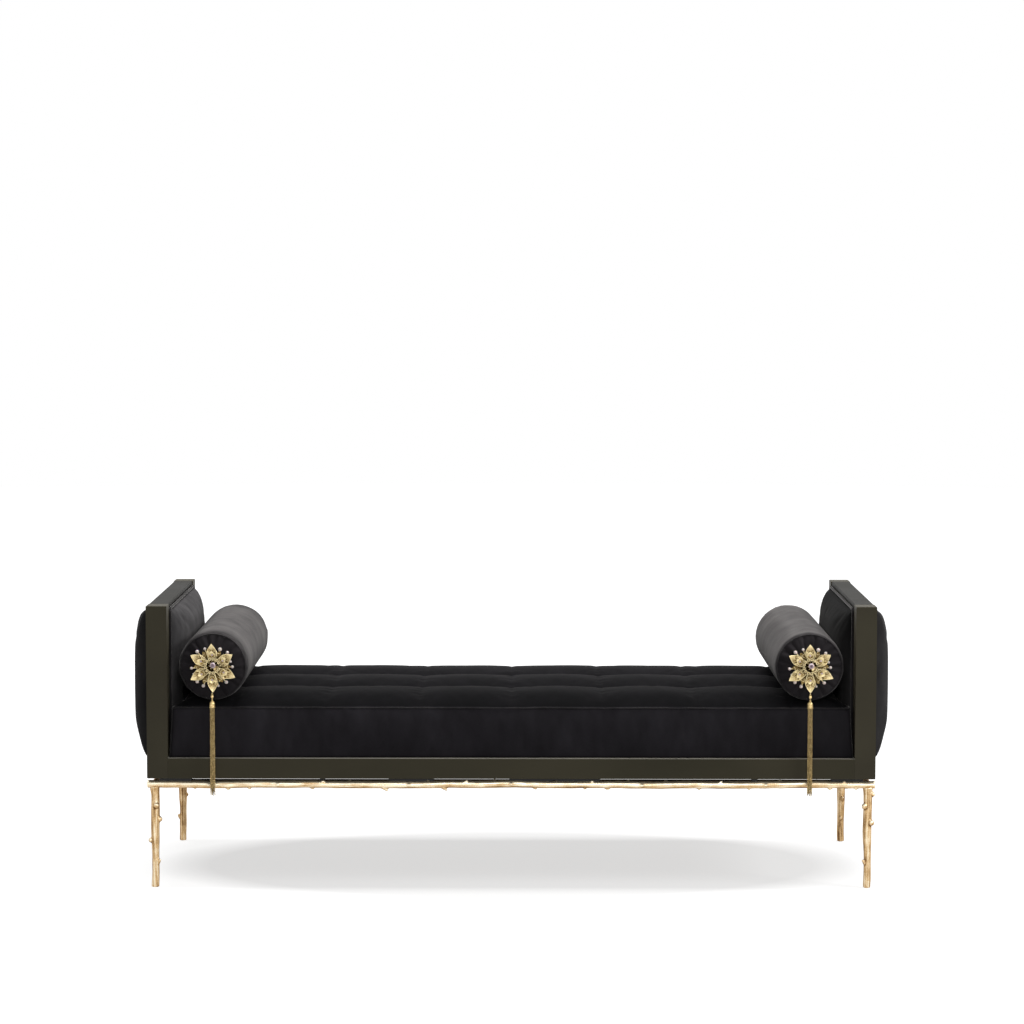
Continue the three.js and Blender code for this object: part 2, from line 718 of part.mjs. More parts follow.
// Branches, modelled along +Z from the origin
const branchFillShares = [0, 0.03, 0.18, 0.36, 0.68, 0.88, 0.97, 1];
function branchRings(length, radiusAt, knotShares, sides = 6) {
  const knotShare = knotLength / length;
  const around = knotShares.flatMap(([share]) => [share - knotShare, share, share + knotShare]);
  const shares = [...branchFillShares, ...around].filter((s) => s >= 0 && s <= 1).sort((a, b) => a - b);
  const stations = shares.filter((s, n) => n === 0 || s - shares[n - 1] > knotShare / 4);
  return stations.map((s) => {
    const free = Math.min(1, (s * (1 - s)) / wanderEaseShare);
    const shiftX = branchWander * free * Math.sin(wanderWaveShares[0] * s + 1);
    const shiftY = branchWander * free * Math.cos(wanderWaveShares[1] * s);
    const ring = [];
    for (let n = 0; n < sides; n++) {
      const turn = (2 * Math.PI * n) / sides;
      let radius = radiusAt(s);
      for (const [share, facing] of knotShares) {
        const along = Math.max(0, 1 - Math.abs(s - share) / knotShare);
        const toward = Math.max(0, Math.cos(turn - THREE.MathUtils.degToRad(facing)));
        radius += knotHeight * along * toward * toward;
      }
      ring.push(corner(shiftX + radius * Math.cos(turn), shiftY + radius * Math.sin(turn), s * length));
    }
    return ring;
  });
}

function stub(height, facing, branchRadius) {
  const turn = THREE.MathUtils.degToRad(facing);
  const out = corner(Math.cos(turn), Math.sin(turn), 1 / 2).normalize();
  const from = corner(0, 0, height).addScaledVector(out, branchRadius / 3);
  const to = corner(0, 0, height).addScaledVector(out, branchRadius + stubLength);
  const quaternion = new THREE.Quaternion().setFromUnitVectors(corner(0, 1, 0), out);
  return new THREE.CylinderGeometry(stubTipRadius, stubFootRadius, from.distanceTo(to), 5)
    .applyQuaternion(quaternion)
    .translate(...from.add(to).multiplyScalar(1 / 2).toArray());
}

const railAxis = frameUnderside - railAxisDrop;
const railLine = halfDepth - railSetback;
const legX = halfLength - legInset;
const railHalf = halfLength + railOverhang;

// A long rail, or the space that the pieces round it leave for it
function longRail(face, clearance = 0) {
  const knotShares = face < 0 ? frontRailKnotShares : backRailKnotShares;
  return loft(branchRings(2 * railHalf, () => railRadius + clearance, knotShares))
    .rotateZ(Math.PI / 2)
    .rotateY(Math.PI / 2)
    .translate(-railHalf, face * railLine, railAxis);
}

function crossRail(side, clearance = 0) {
  const reach = railLine - railRadius / 2;
  return loft(branchRings(2 * reach, () => endRailRadius + clearance, endRailKnotShares))
    .rotateX(Math.PI / 2)
    .translate(side * legX, reach, railAxis);
}

const longSpaces = { [-1]: longRail(-1, castGap), [1]: longRail(1, castGap) };

function addLeg(side, face, name) {
  const height = railAxis - legTopBelowAxis;
  const shoulder = legShoulderHeight / height;
  const radiusAt = (s) => {
    const taper = legFootRadius + (legTopRadius - legFootRadius) * s;
    const nearTop = Math.max(0, s - (1 - shoulder)) / shoulder;
    return taper - legShoulderDrop * nearTop * nearTop;
  };
  const stubs = legStubShares[name];
  const trunk = loft(branchRings(height, radiusAt, stubs, 7));
  const twigs = stubs.map(([share, facing]) => stub(share * height, facing, radiusAt(share)));
  const leg = join([trunk, ...twigs]).translate(side * legX, face * railLine, 0);
  addPiece(name + "_leg", cut(leg, longSpaces[face], crossRail(side, castGap)), goldCast);
}

// Support bars behind the branches, with blocks that carry the frame, and bolts up into the seat rails
const barLine = railLine - railRadius - barClearOfRail - barThickness / 2;
const barTop = frameUnderside - barTopDrop;
const spacerTop = frameUnderside - jointGap;
const boltPlaces = spacerShares.filter(([, , bolted]) => bolted).map(([share]) => share * halfLength);

function boltHole(x, face) {
  const bottom = barTop - barHeight - boltHeadHeight;
  const top = frameUnderside + boltReach + jointGap;
  const foot = corner(x, face * barLine, bottom);
  return rod(foot, corner(x, face * barLine, top), boltRadius + jointGap, 8);
}

function addSupportBar(face, name) {
  const reach = halfLength - barEndInset;
  const bar = new THREE.BoxGeometry(2 * reach, barThickness, barHeight)
    .translate(0, face * barLine, barTop - barHeight / 2);
  const inner = barLine - barThickness / 2;
  const outer = railLine + spacerOverRail;
  const height = spacerTop - railAxis;
  const spacers = spacerShares.map(([share, lengthShare]) =>
    new THREE.BoxGeometry(lengthShare * halfLength, outer - inner, height)
      .translate(share * halfLength, (face * (inner + outer)) / 2, railAxis + height / 2));
  const holes = boltPlaces.map((x) => boltHole(x, face));
  addPiece(name, cut(join([bar, ...spacers]), longSpaces[face], ...holes), blackSteel);
}

function addBolt(x, face, name) {
  const headTop = barTop - barHeight - jointGap;
  const at = (z) => corner(x, face * barLine, z);
  const head = rod(at(headTop - boltHeadHeight), at(headTop), boltHeadRadius, 6);
  const shank = rod(at(headTop - boltHeadHeight / 2), at(frameUnderside + boltReach), boltRadius, 8);
  addPiece(name, join([head, shank]), blackSteel);
}

for (const [side, sideWord] of [[-1, "left"], [1, "right"]]) {
  for (const [face, faceWord] of [[-1, "front"], [1, "back"]]) {
    addPost(side, face, `${faceWord}_${sideWord}_post`);
    addLeg(side, face, `${faceWord}_${sideWord}`);
  }
  addEndRail(side, frameTop - topRailHeight, frameTop, `${sideWord}_top_rail`);
  addEndRail(side, frameUnderside, seatRailTop, `${sideWord}_end_rail`);
  addPanelCore(side, `${sideWord}_panel_core`);
  addPiece(`${sideWord}_inner_pad`, padGeometry(side, true, 12, 12), velvet);
  addPiece(`${sideWord}_outer_pad`, padGeometry(side, false, 12, 12), velvet);
  addPiece(`${sideWord}_inner_piping`, pipingGeometry(side, true), piping);
  addPiece(`${sideWord}_outer_piping`, pipingGeometry(side, false), piping);
  const ends = cut(crossRail(side), longSpaces[-1], longSpaces[1]);
  addPiece(`${sideWord}_branch_rail`, ends, goldCast);
  addBolster(side, sideWord);
}
for (const [face, word] of [[-1, "front"], [1, "back"]]) {
  addSeatRail(face, boltPlaces.map((x) => boltHole(x, face)), `${word}_seat_rail`);
  addPiece(`${word}_branch_rail`, longRail(face), goldCast);
  addSupportBar(face, `${word}_support_bar`);
  boltPlaces.forEach((x, n) => addBolt(x, face, `${word}_bolt_${n + 1}`));
}
addPiece("seat_cushion", seatGeometry(), velvet);
addSeatSupport();

// The origin is on the floor under the middle of the whole piece, tassels included
const reach = new THREE.Box3().setFromObject(recamier, true);
recamier.position.y = -(reach.min.y + reach.max.y) / 2;

export default recamier;
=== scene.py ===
# %% [markdown]
# # A recamier, piece by piece
# A recamier is a long upholstered bench with a padded end on each side. This one has a lacquered
# frame, a seat sewn into puffs, two bolsters that wear a jewelled flower with a tassel, and a base
# cast as thorny branches. The CAD model fixes every size and place, so each piece is made where its
# solid already stands: metres, X along the seat, Y from front to back, Z up, the floor at zero.

# %% Load the CAD frame
import math
import random

import bmesh
import bpy
import numpy as np
from mathutils import Matrix, Vector, noise


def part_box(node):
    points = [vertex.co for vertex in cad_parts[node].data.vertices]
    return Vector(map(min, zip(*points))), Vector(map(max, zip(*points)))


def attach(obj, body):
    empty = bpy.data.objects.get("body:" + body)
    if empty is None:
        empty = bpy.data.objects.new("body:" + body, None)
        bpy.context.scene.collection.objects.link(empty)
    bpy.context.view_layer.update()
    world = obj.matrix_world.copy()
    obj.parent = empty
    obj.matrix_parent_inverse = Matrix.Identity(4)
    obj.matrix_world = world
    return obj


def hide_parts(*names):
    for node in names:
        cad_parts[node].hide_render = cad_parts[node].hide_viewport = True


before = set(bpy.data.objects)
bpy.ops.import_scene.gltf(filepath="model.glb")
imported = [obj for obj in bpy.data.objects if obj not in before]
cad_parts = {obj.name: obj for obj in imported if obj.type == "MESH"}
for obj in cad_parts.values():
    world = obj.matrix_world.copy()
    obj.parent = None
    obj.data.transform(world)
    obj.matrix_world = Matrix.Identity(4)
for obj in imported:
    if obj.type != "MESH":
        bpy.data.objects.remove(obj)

scene = bpy.context.scene
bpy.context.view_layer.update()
MM = 0.001

# %% [markdown]
# Modelling starts with measuring. The middle of the seat's solid gives the plane that splits front
# from back, which is not zero, because the tassels hang in front and the origin is under the middle
# of everything. The other numbers are read the same way, so nothing here guesses a place.

# %% Measure the frame
seat_low, seat_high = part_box("seat_cushion")
middle_y = (seat_low.y + seat_high.y) / 2
post_low, post_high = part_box("front_right_post")
rail_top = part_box("front_seat_rail")[1].z
frame_bottom = post_low.z
frame_front = post_low.y
print("middle of the depth in mm:", round(middle_y / MM, 2))

# %% [markdown]
# A bmesh is Blender's mesh on the workbench. Every piece ends the same way: its bmesh becomes an
# object at the origin, gets a material, and is tied to the body of the frame that carries it. A
# helper says that once. It also names the CAD solids that the piece stands for, which are hidden.

# %% Helpers that finish a piece
def add_piece(name, bm, material, body="root", stands_for=(), smooth=True):
    mesh = bpy.data.meshes.new(name)
    bm.to_mesh(mesh)
    bm.free()
    mesh.materials.append(material)
    if smooth:
        mesh.shade_smooth()
    piece = bpy.data.objects.new(name, mesh)
    scene.collection.objects.link(piece)
    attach(piece, body)
    if stands_for:
        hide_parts(*stands_for)
    print(f"{name}: {len(mesh.polygons)} faces")
    return piece


def apply_modifiers(piece):
    graph = bpy.context.evaluated_depsgraph_get()
    shaped = bpy.data.meshes.new_from_object(piece.evaluated_get(graph), depsgraph=graph)
    piece.modifiers.clear()
    piece.data = shaped


def read_points(mesh):
    points = np.empty(3 * len(mesh.vertices))
    mesh.vertices.foreach_get("co", points)
    return points.reshape(-1, 3)


def write_points(mesh, points):
    mesh.vertices.foreach_set("co", points.ravel())
    mesh.update()


def add_copy(bm, mesh, matrix):
    """Adds a mesh to bm, moved by a matrix."""
    first = len(bm.verts)
    bm.from_mesh(mesh)
    bm.verts.ensure_lookup_table()
    bmesh.ops.transform(bm, matrix=matrix, verts=bm.verts[first:])


def add_rod(bm, points, radii, closed=False, sides=8):
    """Sweeps a round rod along points with a curve, and adds it to bm."""
    curve = bpy.data.curves.new("rod", "CURVE")
    curve.dimensions = "3D"
    curve.bevel_depth = 1
    curve.bevel_resolution = (sides - 4) // 2
    curve.use_fill_caps = not closed
    spline = curve.splines.new("POLY")
    spline.points.add(len(points) - 1)
    for point, where, radius in zip(spline.points, points, radii):
        point.co = (*where, 1)
        point.radius = radius
    spline.use_cyclic_u = closed
    holder = bpy.data.objects.new("rod", curve)
    swept = bpy.data.meshes.new_from_object(holder)
    bm.from_mesh(swept)
    bpy.data.objects.remove(holder)
    bpy.data.curves.remove(curve)
    bpy.data.meshes.remove(swept)


def add_turned(bm, profile, steps=24):
    """Turns a profile of (radius, height) pairs round Z, as on a lathe."""
    start = [bm.verts.new((radius, 0, height)) for radius, height in profile]
    edges = [bm.edges.new(pair) for pair in zip(start, start[1:])]
    bmesh.ops.spin(bm, geom=start + edges, axis=(0, 0, 1), cent=(0, 0, 0), steps=steps,
                   angle=2 * math.pi, use_merge=True)


def to_mesh(bm, name="shape"):
    """Closes the doubled points of a part that is copied many times."""
    bmesh.ops.remove_doubles(bm, verts=bm.verts, dist=1e-6)
    bmesh.ops.recalc_face_normals(bm, faces=bm.faces)
    mesh = bpy.data.meshes.new(name)
    bm.to_mesh(mesh)
    bm.free()
    return mesh

# %% [markdown]
# A material is a small graph of nodes. Two helpers keep the graphs readable: one adds a node and
# fills its inputs, the other turns a number into a colour. Colours are written as they are seen on
# a screen, from 0 to 255, and changed into the linear values that light calculations need.

# %% Helpers for materials
def seen(*rgb):
    return [((c / 255 + 0.055) / 1.055) ** 2.4 if c > 10 else c / 255 / 12.92 for c in rgb] + [1]


def new_material(name):
    material = bpy.data.materials.new(name)
    material.use_nodes = True
    tree = material.node_tree
    shader = tree.nodes["Principled BSDF"]
    coords = tree.nodes.new("ShaderNodeTexCoord")
    return material, tree, shader, coords.outputs["Object"]


def fill(tree, node, inputs):
    for key, value in inputs.items():
        if isinstance(value, bpy.types.NodeSocket):
            tree.links.new(value, node.inputs[key])
        else:
            node.inputs[key].default_value = value


def add_node(tree, kind, inputs, **settings):
    node = tree.nodes.new("ShaderNode" + kind)
    for key, value in settings.items():
        setattr(node, key, value)
    fill(tree, node, inputs)
    return node.outputs[0]


def noise_at(tree, where, scale, detail=2, stretch=(1, 1, 1)):
    mapped = add_node(tree, "Mapping", {"Vector": where, "Scale": stretch})
    return add_node(tree, "TexNoise", {"Vector": mapped, "Scale": scale, "Detail": detail})


def colours(tree, value, stops):
    node = tree.nodes.new("ShaderNodeValToRGB")
    tree.links.new(value, node.inputs[0])
    ramp = node.color_ramp
    while len(ramp.elements) < len(stops):
        ramp.elements.new(0.5)
    for element, (place, colour) in zip(ramp.elements, stops):
        element.position = place
        element.color = colour
    return node.outputs[0]


def numbers(tree, value, low, high, from_low=0.3, from_high=0.7):
    return add_node(tree, "MapRange", {0: value, 1: from_low, 2: from_high, 3: low, 4: high})


def bumps(tree, height, distance, strength=1.0, under=None):
    inputs = {"Height": height, "Distance": distance, "Strength": strength}
    if under is not None:
        inputs["Normal"] = under
    return add_node(tree, "Bump", inputs)

# %% [markdown]
# Velvet is a forest of short fibres. Looked at straight on it is nearly black, and at a glancing
# angle the lit sides of the fibres give it a pale bloom, which Principled's sheen stands for. The
# pile lies one way on each panel, so the seat blooms little and the bolsters more. Noise at three
# sizes makes the brushed patches, the crushed marks and the fibres themselves. A float attribute
# paints light and sheen into the base colour: where it is high the velvet is painted pale, as
# painted light and sheen, and where it is low it stays dark, as painted shade.

# %% Velvet
def velvet(name, deep, brushed, sheen, sheen_roughness, stretch=(1, 1, 1), raised=None):
    material, tree, shader, where = new_material(name)
    patches = noise_at(tree, where, 7, 3, stretch)
    strokes = noise_at(tree, where, 38, 3, (stretch[0] * 0.6, stretch[1] * 0.6, stretch[2] * 0.25))
    mixed = add_node(tree, "Math", {0: patches, 1: strokes}, operation="MULTIPLY")
    pile = colours(tree, mixed, [(0.1, deep), (0.42, brushed)])
    # The raised colours are the pale ones of painted light and sheen.
    if raised:
        painted_light_level = add_node(tree, "Attribute", {}, attribute_name="painted_light_level")
        pale = colours(tree, mixed, [(0.1, raised[0]), (0.42, raised[1])])
        pile = add_node(tree, "MixRGB", {"Fac": painted_light_level, "Color1": pile, "Color2": pale})
    crushed = noise_at(tree, where, 160, 4)
    fibres = noise_at(tree, where, 2600, 1)
    soft = bumps(tree, crushed, 0.6 * MM, 0.25)
    fill(tree, shader, {
        "Base Color": pile, "Roughness": 0.85, "Specular IOR Level": 0.06,
        "Sheen Weight": sheen, "Sheen Roughness": sheen_roughness,
        "Sheen Tint": seen(232, 229, 226), "Normal": bumps(tree, fibres, 0.25 * MM, 0.35, soft),
    })
    return material


seat_velvet = velvet("seat_velvet", seen(7, 7, 8), seen(15, 14, 16), 0.03, 0.3,
                     raised=(seen(34, 32, 35), seen(47, 45, 49)))
bolster_velvet = velvet("bolster_velvet", seen(28, 26, 28), seen(50, 47, 49), 0.16, 0.35,
                        raised=(seen(78, 76, 76), seen(110, 107, 106)))
pad_velvet = velvet("pad_velvet", seen(7, 7, 7), seen(15, 15, 15), 0.05, 0.35,
                    raised=(seen(56, 55, 56), seen(92, 90, 91)))
cord_velvet = velvet("cord_velvet", seen(28, 27, 28), seen(52, 50, 51), 0.4, 0.35)
print("velvets:", [m.name for m in (seat_velvet, bolster_velvet, pad_velvet, cord_velvet)])

# %% [markdown]
# The frame is timber under olive-black lacquer with a satin shine. Faint clouds in the tint and the
# roughness and a very low bump, as left by a spray gun, keep the long rails from looking like
# plastic. The tint is painted lighter on the posts and darker on the top rails, as painted light and
# shade, and the seat rails carry a painted highlight, a thin bright line along their top edge.

# %% Lacquer
def lacquer(name, deep, pale, gloss=0.09, painted_highlight_above=None):
    material, tree, shader, where = new_material(name)
    clouds = noise_at(tree, where, 5, 3, (0.5, 1, 1))
    grain = noise_at(tree, where, 60, 4, (0.08, 1, 1))
    peel = noise_at(tree, where, 420, 2)
    tint = colours(tree, clouds, [(0.3, deep), (0.7, pale)])
    # Above the given height the tint is painted pale: a painted highlight along the rail's top edge.
    if painted_highlight_above:
        height = tree.nodes.new("ShaderNodeSeparateXYZ")
        tree.links.new(where, height.inputs[0])
        edge = add_node(tree, "MapRange", {0: height.outputs["Z"], 1: painted_highlight_above,
                                           2: painted_highlight_above + 0.4 * MM, 3: 0.0, 4: 1.0})
        tint = add_node(tree, "MixRGB", {"Fac": edge, "Color1": tint, "Color2": seen(124, 121, 112)})
    pores = bumps(tree, grain, 0.12 * MM, 0.25)
    fill(tree, shader, {
        "Base Color": tint, "Roughness": numbers(tree, clouds, 0.42, 0.52),
        "Specular IOR Level": gloss, "Normal": bumps(tree, peel, 0.06 * MM, 0.3, pores),
    })
    return material


# The posts are painted lighter and the top rails darker than one lacquer would be: painted light and shade.
post_lacquer_painted_light = lacquer("post_lacquer_painted_light", seen(60, 56, 45), seen(72, 68, 55))
top_lacquer_painted_shade = lacquer("top_lacquer_painted_shade", seen(36, 35, 32), seen(46, 45, 41), 0.03)
rail_lacquer = lacquer("lacquer_with_painted_highlight", seen(55, 52, 40), seen(67, 63, 50),
                       painted_highlight_above=rail_top - 1.1 * MM)
print("frame finishes:", post_lacquer_painted_light.name, top_lacquer_painted_shade.name, rail_lacquer.name)

# %% [markdown]
# The base and the jewellery are metal. Cast gold is bright on what sticks out and brown in the
# hollows, where polishing can't reach. Each metal piece therefore carries a tone attribute, from 0 in
# a hollow to 1 on a ridge, and the colour and roughness follow it. On the branches and the jewellery
# the same attribute also carries painted light and shade, as the code that sets it says.

# %% Metals
def metal(name, hollow, body, ridge, shine, fine_scale, metallic=1.0, edge=(255, 255, 255)):
    material, tree, shader, where = new_material(name)
    patina_and_painted_light = add_node(tree, "Attribute", {}, attribute_name="patina_and_painted_light")
    grain = noise_at(tree, where, fine_scale, 4)
    level = add_node(tree, "Math", {0: grain, 1: 0.5, 2: patina_and_painted_light}, operation="MULTIPLY_ADD")
    tint = colours(tree, level, [(0.35, hollow), (0.65, body), (1.0, ridge)])
    fill(tree, shader, {
        "Base Color": tint, "Metallic": metallic, "Specular Tint": seen(*edge),
        "Roughness": numbers(tree, level, shine + 0.2, shine, 0.35, 1.0),
        "Normal": bumps(tree, grain, 0.25 * MM, 0.35),
    })
    return material


def mark_relief(mesh, gain=0.5):
    """Writes the tone attribute from relief: how far each point stands out from its neighbours."""
    points = read_points(mesh)
    ends = np.empty(2 * len(mesh.edges), int)
    mesh.edges.foreach_get("vertices", ends)
    a, b = ends.reshape(-1, 2).T
    total, count = np.zeros_like(points), np.zeros(len(points))
    np.add.at(total, a, points[b])
    np.add.at(total, b, points[a])
    np.add.at(count, a, 1)
    np.add.at(count, b, 1)
    normals = np.empty(3 * len(points))
    mesh.vertices.foreach_get("normal", normals)
    count = np.maximum(count, 1)[:, None]
    out = ((points - total / count) * normals.reshape(-1, 3)).sum(1)
    size = np.linalg.norm(points[a] - points[b], axis=1).mean()
    patina_and_painted_light = np.clip(0.5 + gain * out / size, 0, 1)
    attribute = mesh.attributes.get("patina_and_painted_light") or mesh.attributes.new("patina_and_painted_light", "FLOAT", "POINT")
    attribute.data.foreach_set("value", patina_and_painted_light.astype(np.float32))


cast_gold = metal("cast_gold", seen(104, 70, 38), seen(208, 174, 126), seen(255, 243, 214), 0.3, 420, 0.8,
                  edge=(150, 104, 62))
old_gold = metal("antique_gold", seen(34, 27, 14), seen(116, 97, 62), seen(222, 196, 140), 0.28, 1500)
pale_gold = metal("filigree_gold", seen(32, 23, 10), seen(120, 98, 56), seen(230, 213, 166), 0.28, 1500)
print("metals:", [m.name for m in (cast_gold, old_gold, pale_gold)])

# %% [markdown]
# Three small finishes are left: pearl, which glows a little from inside, cut crystal, which mostly
# reflects, and the black steel under the frame. Raw timber is only seen from below, so a plain grain
# of stretched noise is enough for it.

# %% Pearl, crystal, steel and timber
def pearl_finish():
    material, tree, shader, where = new_material("blush_pearl")
    clouds = noise_at(tree, where, 300, 2)
    tint = colours(tree, clouds, [(0.3, seen(214, 196, 186)), (0.7, seen(240, 230, 222))])
    fill(tree, shader, {
        "Base Color": tint, "Roughness": 0.22, "Coat Weight": 0.6, "Coat Roughness": 0.08,
        "Subsurface Weight": 0.15, "Subsurface Scale": 1.5 * MM,
        "Normal": bumps(tree, clouds, 0.1 * MM, 0.2),
    })
    return material


def crystal_finish(name, low, high):
    material, tree, shader, where = new_material(name)
    clouds = noise_at(tree, where, 420, 2)
    # Painted reflection and shade: where the tone attribute is low the crystal is painted dark, where it is high
    # pale.
    patina_and_painted_light = add_node(tree, "Attribute", {}, attribute_name="patina_and_painted_light")
    level = add_node(tree, "Math", {0: clouds, 1: 0.5, 2: patina_and_painted_light}, operation="MULTIPLY_ADD")
    fill(tree, shader, {
        "Base Color": colours(tree, level, [(0.25, low), (1.1, high)]),
        "Roughness": 0.06, "IOR": 1.7, "Transmission Weight": 0.35,
        "Normal": bumps(tree, clouds, 0.05 * MM, 0.15),
    })
    return material


def steel_finish():
    material, tree, shader, where = new_material("black_satin_steel")
    grain = noise_at(tree, where, 700, 3)
    tint = colours(tree, grain, [(0.3, seen(17, 17, 18)), (0.7, seen(30, 30, 31))])
    fill(tree, shader, {
        "Base Color": tint, "Roughness": numbers(tree, grain, 0.45, 0.6),
        "Specular IOR Level": 0.3, "Normal": bumps(tree, grain, 0.08 * MM, 0.4),
    })
    return material


def timber_finish():
    material, tree, shader, where = new_material("raw_timber")
    grain = noise_at(tree, where, 14, 5, (0.12, 1, 1))
    pores = noise_at(tree, where, 260, 3, (0.05, 1, 1))
    tint = colours(tree, grain, [(0.3, seen(146, 112, 74)), (0.7, seen(196, 163, 118))])
    fill(tree, shader, {
        "Base Color": tint, "Roughness": numbers(tree, pores, 0.6, 0.8),
        "Normal": bumps(tree, pores, 0.3 * MM, 0.4),
    })
    return material


blush_pearl = pearl_finish()
pink_crystal = crystal_finish("pink_crystal", seen(112, 76, 96), seen(246, 222, 232))
black_steel = steel_finish()
raw_timber = timber_finish()

# %% [markdown]
# Posts, rails, bars and bolts are right as the CAD has them, down to the thin chamfers that catch
# the light. They keep their solids, and only take a better finish. The choice goes by name.

# %% Finish the solids that stay
kept_finishes = {
    post_lacquer_painted_light: ["post"],
    top_lacquer_painted_shade: ["top_rail"],
    rail_lacquer: ["seat_rail", "end_rail"],
    black_steel: ["support_bar", "bolt_"],
    raw_timber: ["panel_core", "seat_deck", "cross_stretcher"],
}
for finish, words in kept_finishes.items():
    solids = [o for n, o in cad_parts.items() if any(word in n for word in words)]
    for solid in solids:
        solid.data.materials.clear()
        solid.data.materials.append(finish)
    print(finish.name, "on", len(solids), "solids")

# %% [markdown]
# Padded pieces get their shape from a cloth simulation. The cover starts a little slack, its sewn
# lines are pinned, and air pressure fills it for twenty frames. Where slack cloth meets a pinned
# line it puckers, as real velvet does at a seam. The push is capped so that the pad keeps its place,
# and the result is frozen into the mesh, because nothing may still be simulating at the end.

# %% Fill a cover with a cloth simulation
def plump(piece, sewn, pressure=4.0, slack=0.02, cap=8 * MM, frames=20):
    """sewn is a mask of pinned points."""
    start = read_points(piece.data)
    group = piece.vertex_groups.new(name="sewn")
    group.add(np.flatnonzero(sewn).tolist(), 1.0, "REPLACE")
    cloth = piece.modifiers.new("cover", "CLOTH")
    cloth.settings.vertex_group_mass = "sewn"
    cloth.settings.use_pressure = True
    cloth.settings.uniform_pressure_force = pressure
    cloth.settings.effector_weights.gravity = 0
    cloth.settings.shrink_min = -slack
    cloth.settings.bending_stiffness = 0.2
    cloth.settings.quality = 4
    cloth.collision_settings.use_collision = False
    cloth.point_cache.frame_start, cloth.point_cache.frame_end = 1, frames
    for frame_number in range(1, frames + 1):
        scene.frame_set(frame_number)
    graph = bpy.context.evaluated_depsgraph_get()
    push = read_points(piece.evaluated_get(graph).data) - start
    far = np.linalg.norm(push, axis=1)
    push *= (cap * np.tanh(far / cap) / np.maximum(far, 1e-9))[:, None]
    piece.modifiers.clear()
    piece.vertex_groups.clear()
    write_points(piece.data, start + push)
    scene.frame_set(1)
    print(f"{piece.name}: filled by up to {far.max() / MM:.1f} mm before the cap")


def subdivide(piece):
    smoother = piece.modifiers.new("smooth", "SUBSURF")
    smoother.levels = smoother.render_levels = 1
    apply_modifiers(piece)


def close_back(piece):
    """Closes the open side of a cover with one flat face, and turns all faces outward."""
    bm = bmesh.new()
    bm.from_mesh(piece.data)
    bmesh.ops.holes_fill(bm, edges=[e for e in bm.edges if e.is_boundary], sides=0)
    bmesh.ops.recalc_face_normals(bm, faces=bm.faces)
    bm.to_mesh(piece.data)
    bm.free()


def write_painted_light(mesh, painted_light_level):
    mesh.attributes.new("painted_light_level", "FLOAT", "POINT").data.foreach_set("value", painted_light_level.astype(np.float32))


def smoothstep(low, high, value):
    t = np.clip((value - low) / (high - low), 0, 1)
    return t * t * (3 - 2 * t)


def noise_of(points, scale, seed=0.0):
    """Smooth noise from -1 to 1 at each point, for sculpting."""
    return np.array([noise.noise(Vector(p)) for p in points * scale + seed])

# %% [markdown]
# The seat cushion is a box of foam with a quilted top: three rows of puffs, eight across, between
# sewn channels. It starts as one flat grid whose lines fall on the channels. Its border is extruded
# down for the side band, called the boxing, and the bottom is closed with a single face. Then every
# point is moved to its place in the quilted shape, which keeps clear of the bolsters that press on
# its ends.

# %% Seat cushion
COLUMN_CELLS = [18, 24, 24, 24, 24, 24, 24, 18]
ROW_CELLS = [22, 22, 22]
COLUMN_LINES = [-1, -0.82, -0.545, -0.272, 0, 0.272, 0.545, 0.82, 1]
ROW_LINES = [-1, -0.335, 0.335, 1]
BOXING_ROWS = 12
seam_height = 458 * MM
seat_half_depth = 316 * MM
seat_crest = seat_high.z
seat_foot = seat_low.z

bolster_low, bolster_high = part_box("right_bolster")
bolster_radius = (bolster_high.z - bolster_low.z) / 2
bolster_x = (bolster_high.x + bolster_low.x) / 2
bolster_z = (bolster_high.z + bolster_low.z) / 2


def seat_start():
    bm = bmesh.new()
    bmesh.ops.create_grid(bm, x_segments=sum(COLUMN_CELLS), y_segments=sum(ROW_CELLS), size=1)
    rim = [e for e in bm.edges if e.is_boundary]
    for level in range(1, BOXING_ROWS + 1):
        grown = bmesh.ops.extrude_edge_only(bm, edges=rim)["geom"]
        for vert in grown:
            if isinstance(vert, bmesh.types.BMVert):
                vert.co.z = -level
        rim = [e for e in grown if isinstance(e, bmesh.types.BMEdge) and e.is_boundary]
    return bm


def along_cells(share, cells, lines):
    """Where a grid line falls, and how far it is from the middle of its puff, from -1 to 1."""
    step = (share + 1) / 2 * sum(cells)
    bounds = np.cumsum([0, *cells])
    place = np.interp(step, bounds, lines)
    cell = np.clip(np.searchsorted(bounds, step, side="right") - 1, 0, len(cells) - 1)
    local = 2 * (step - bounds[cell]) / np.diff(bounds)[cell] - 1
    return place, local, cell


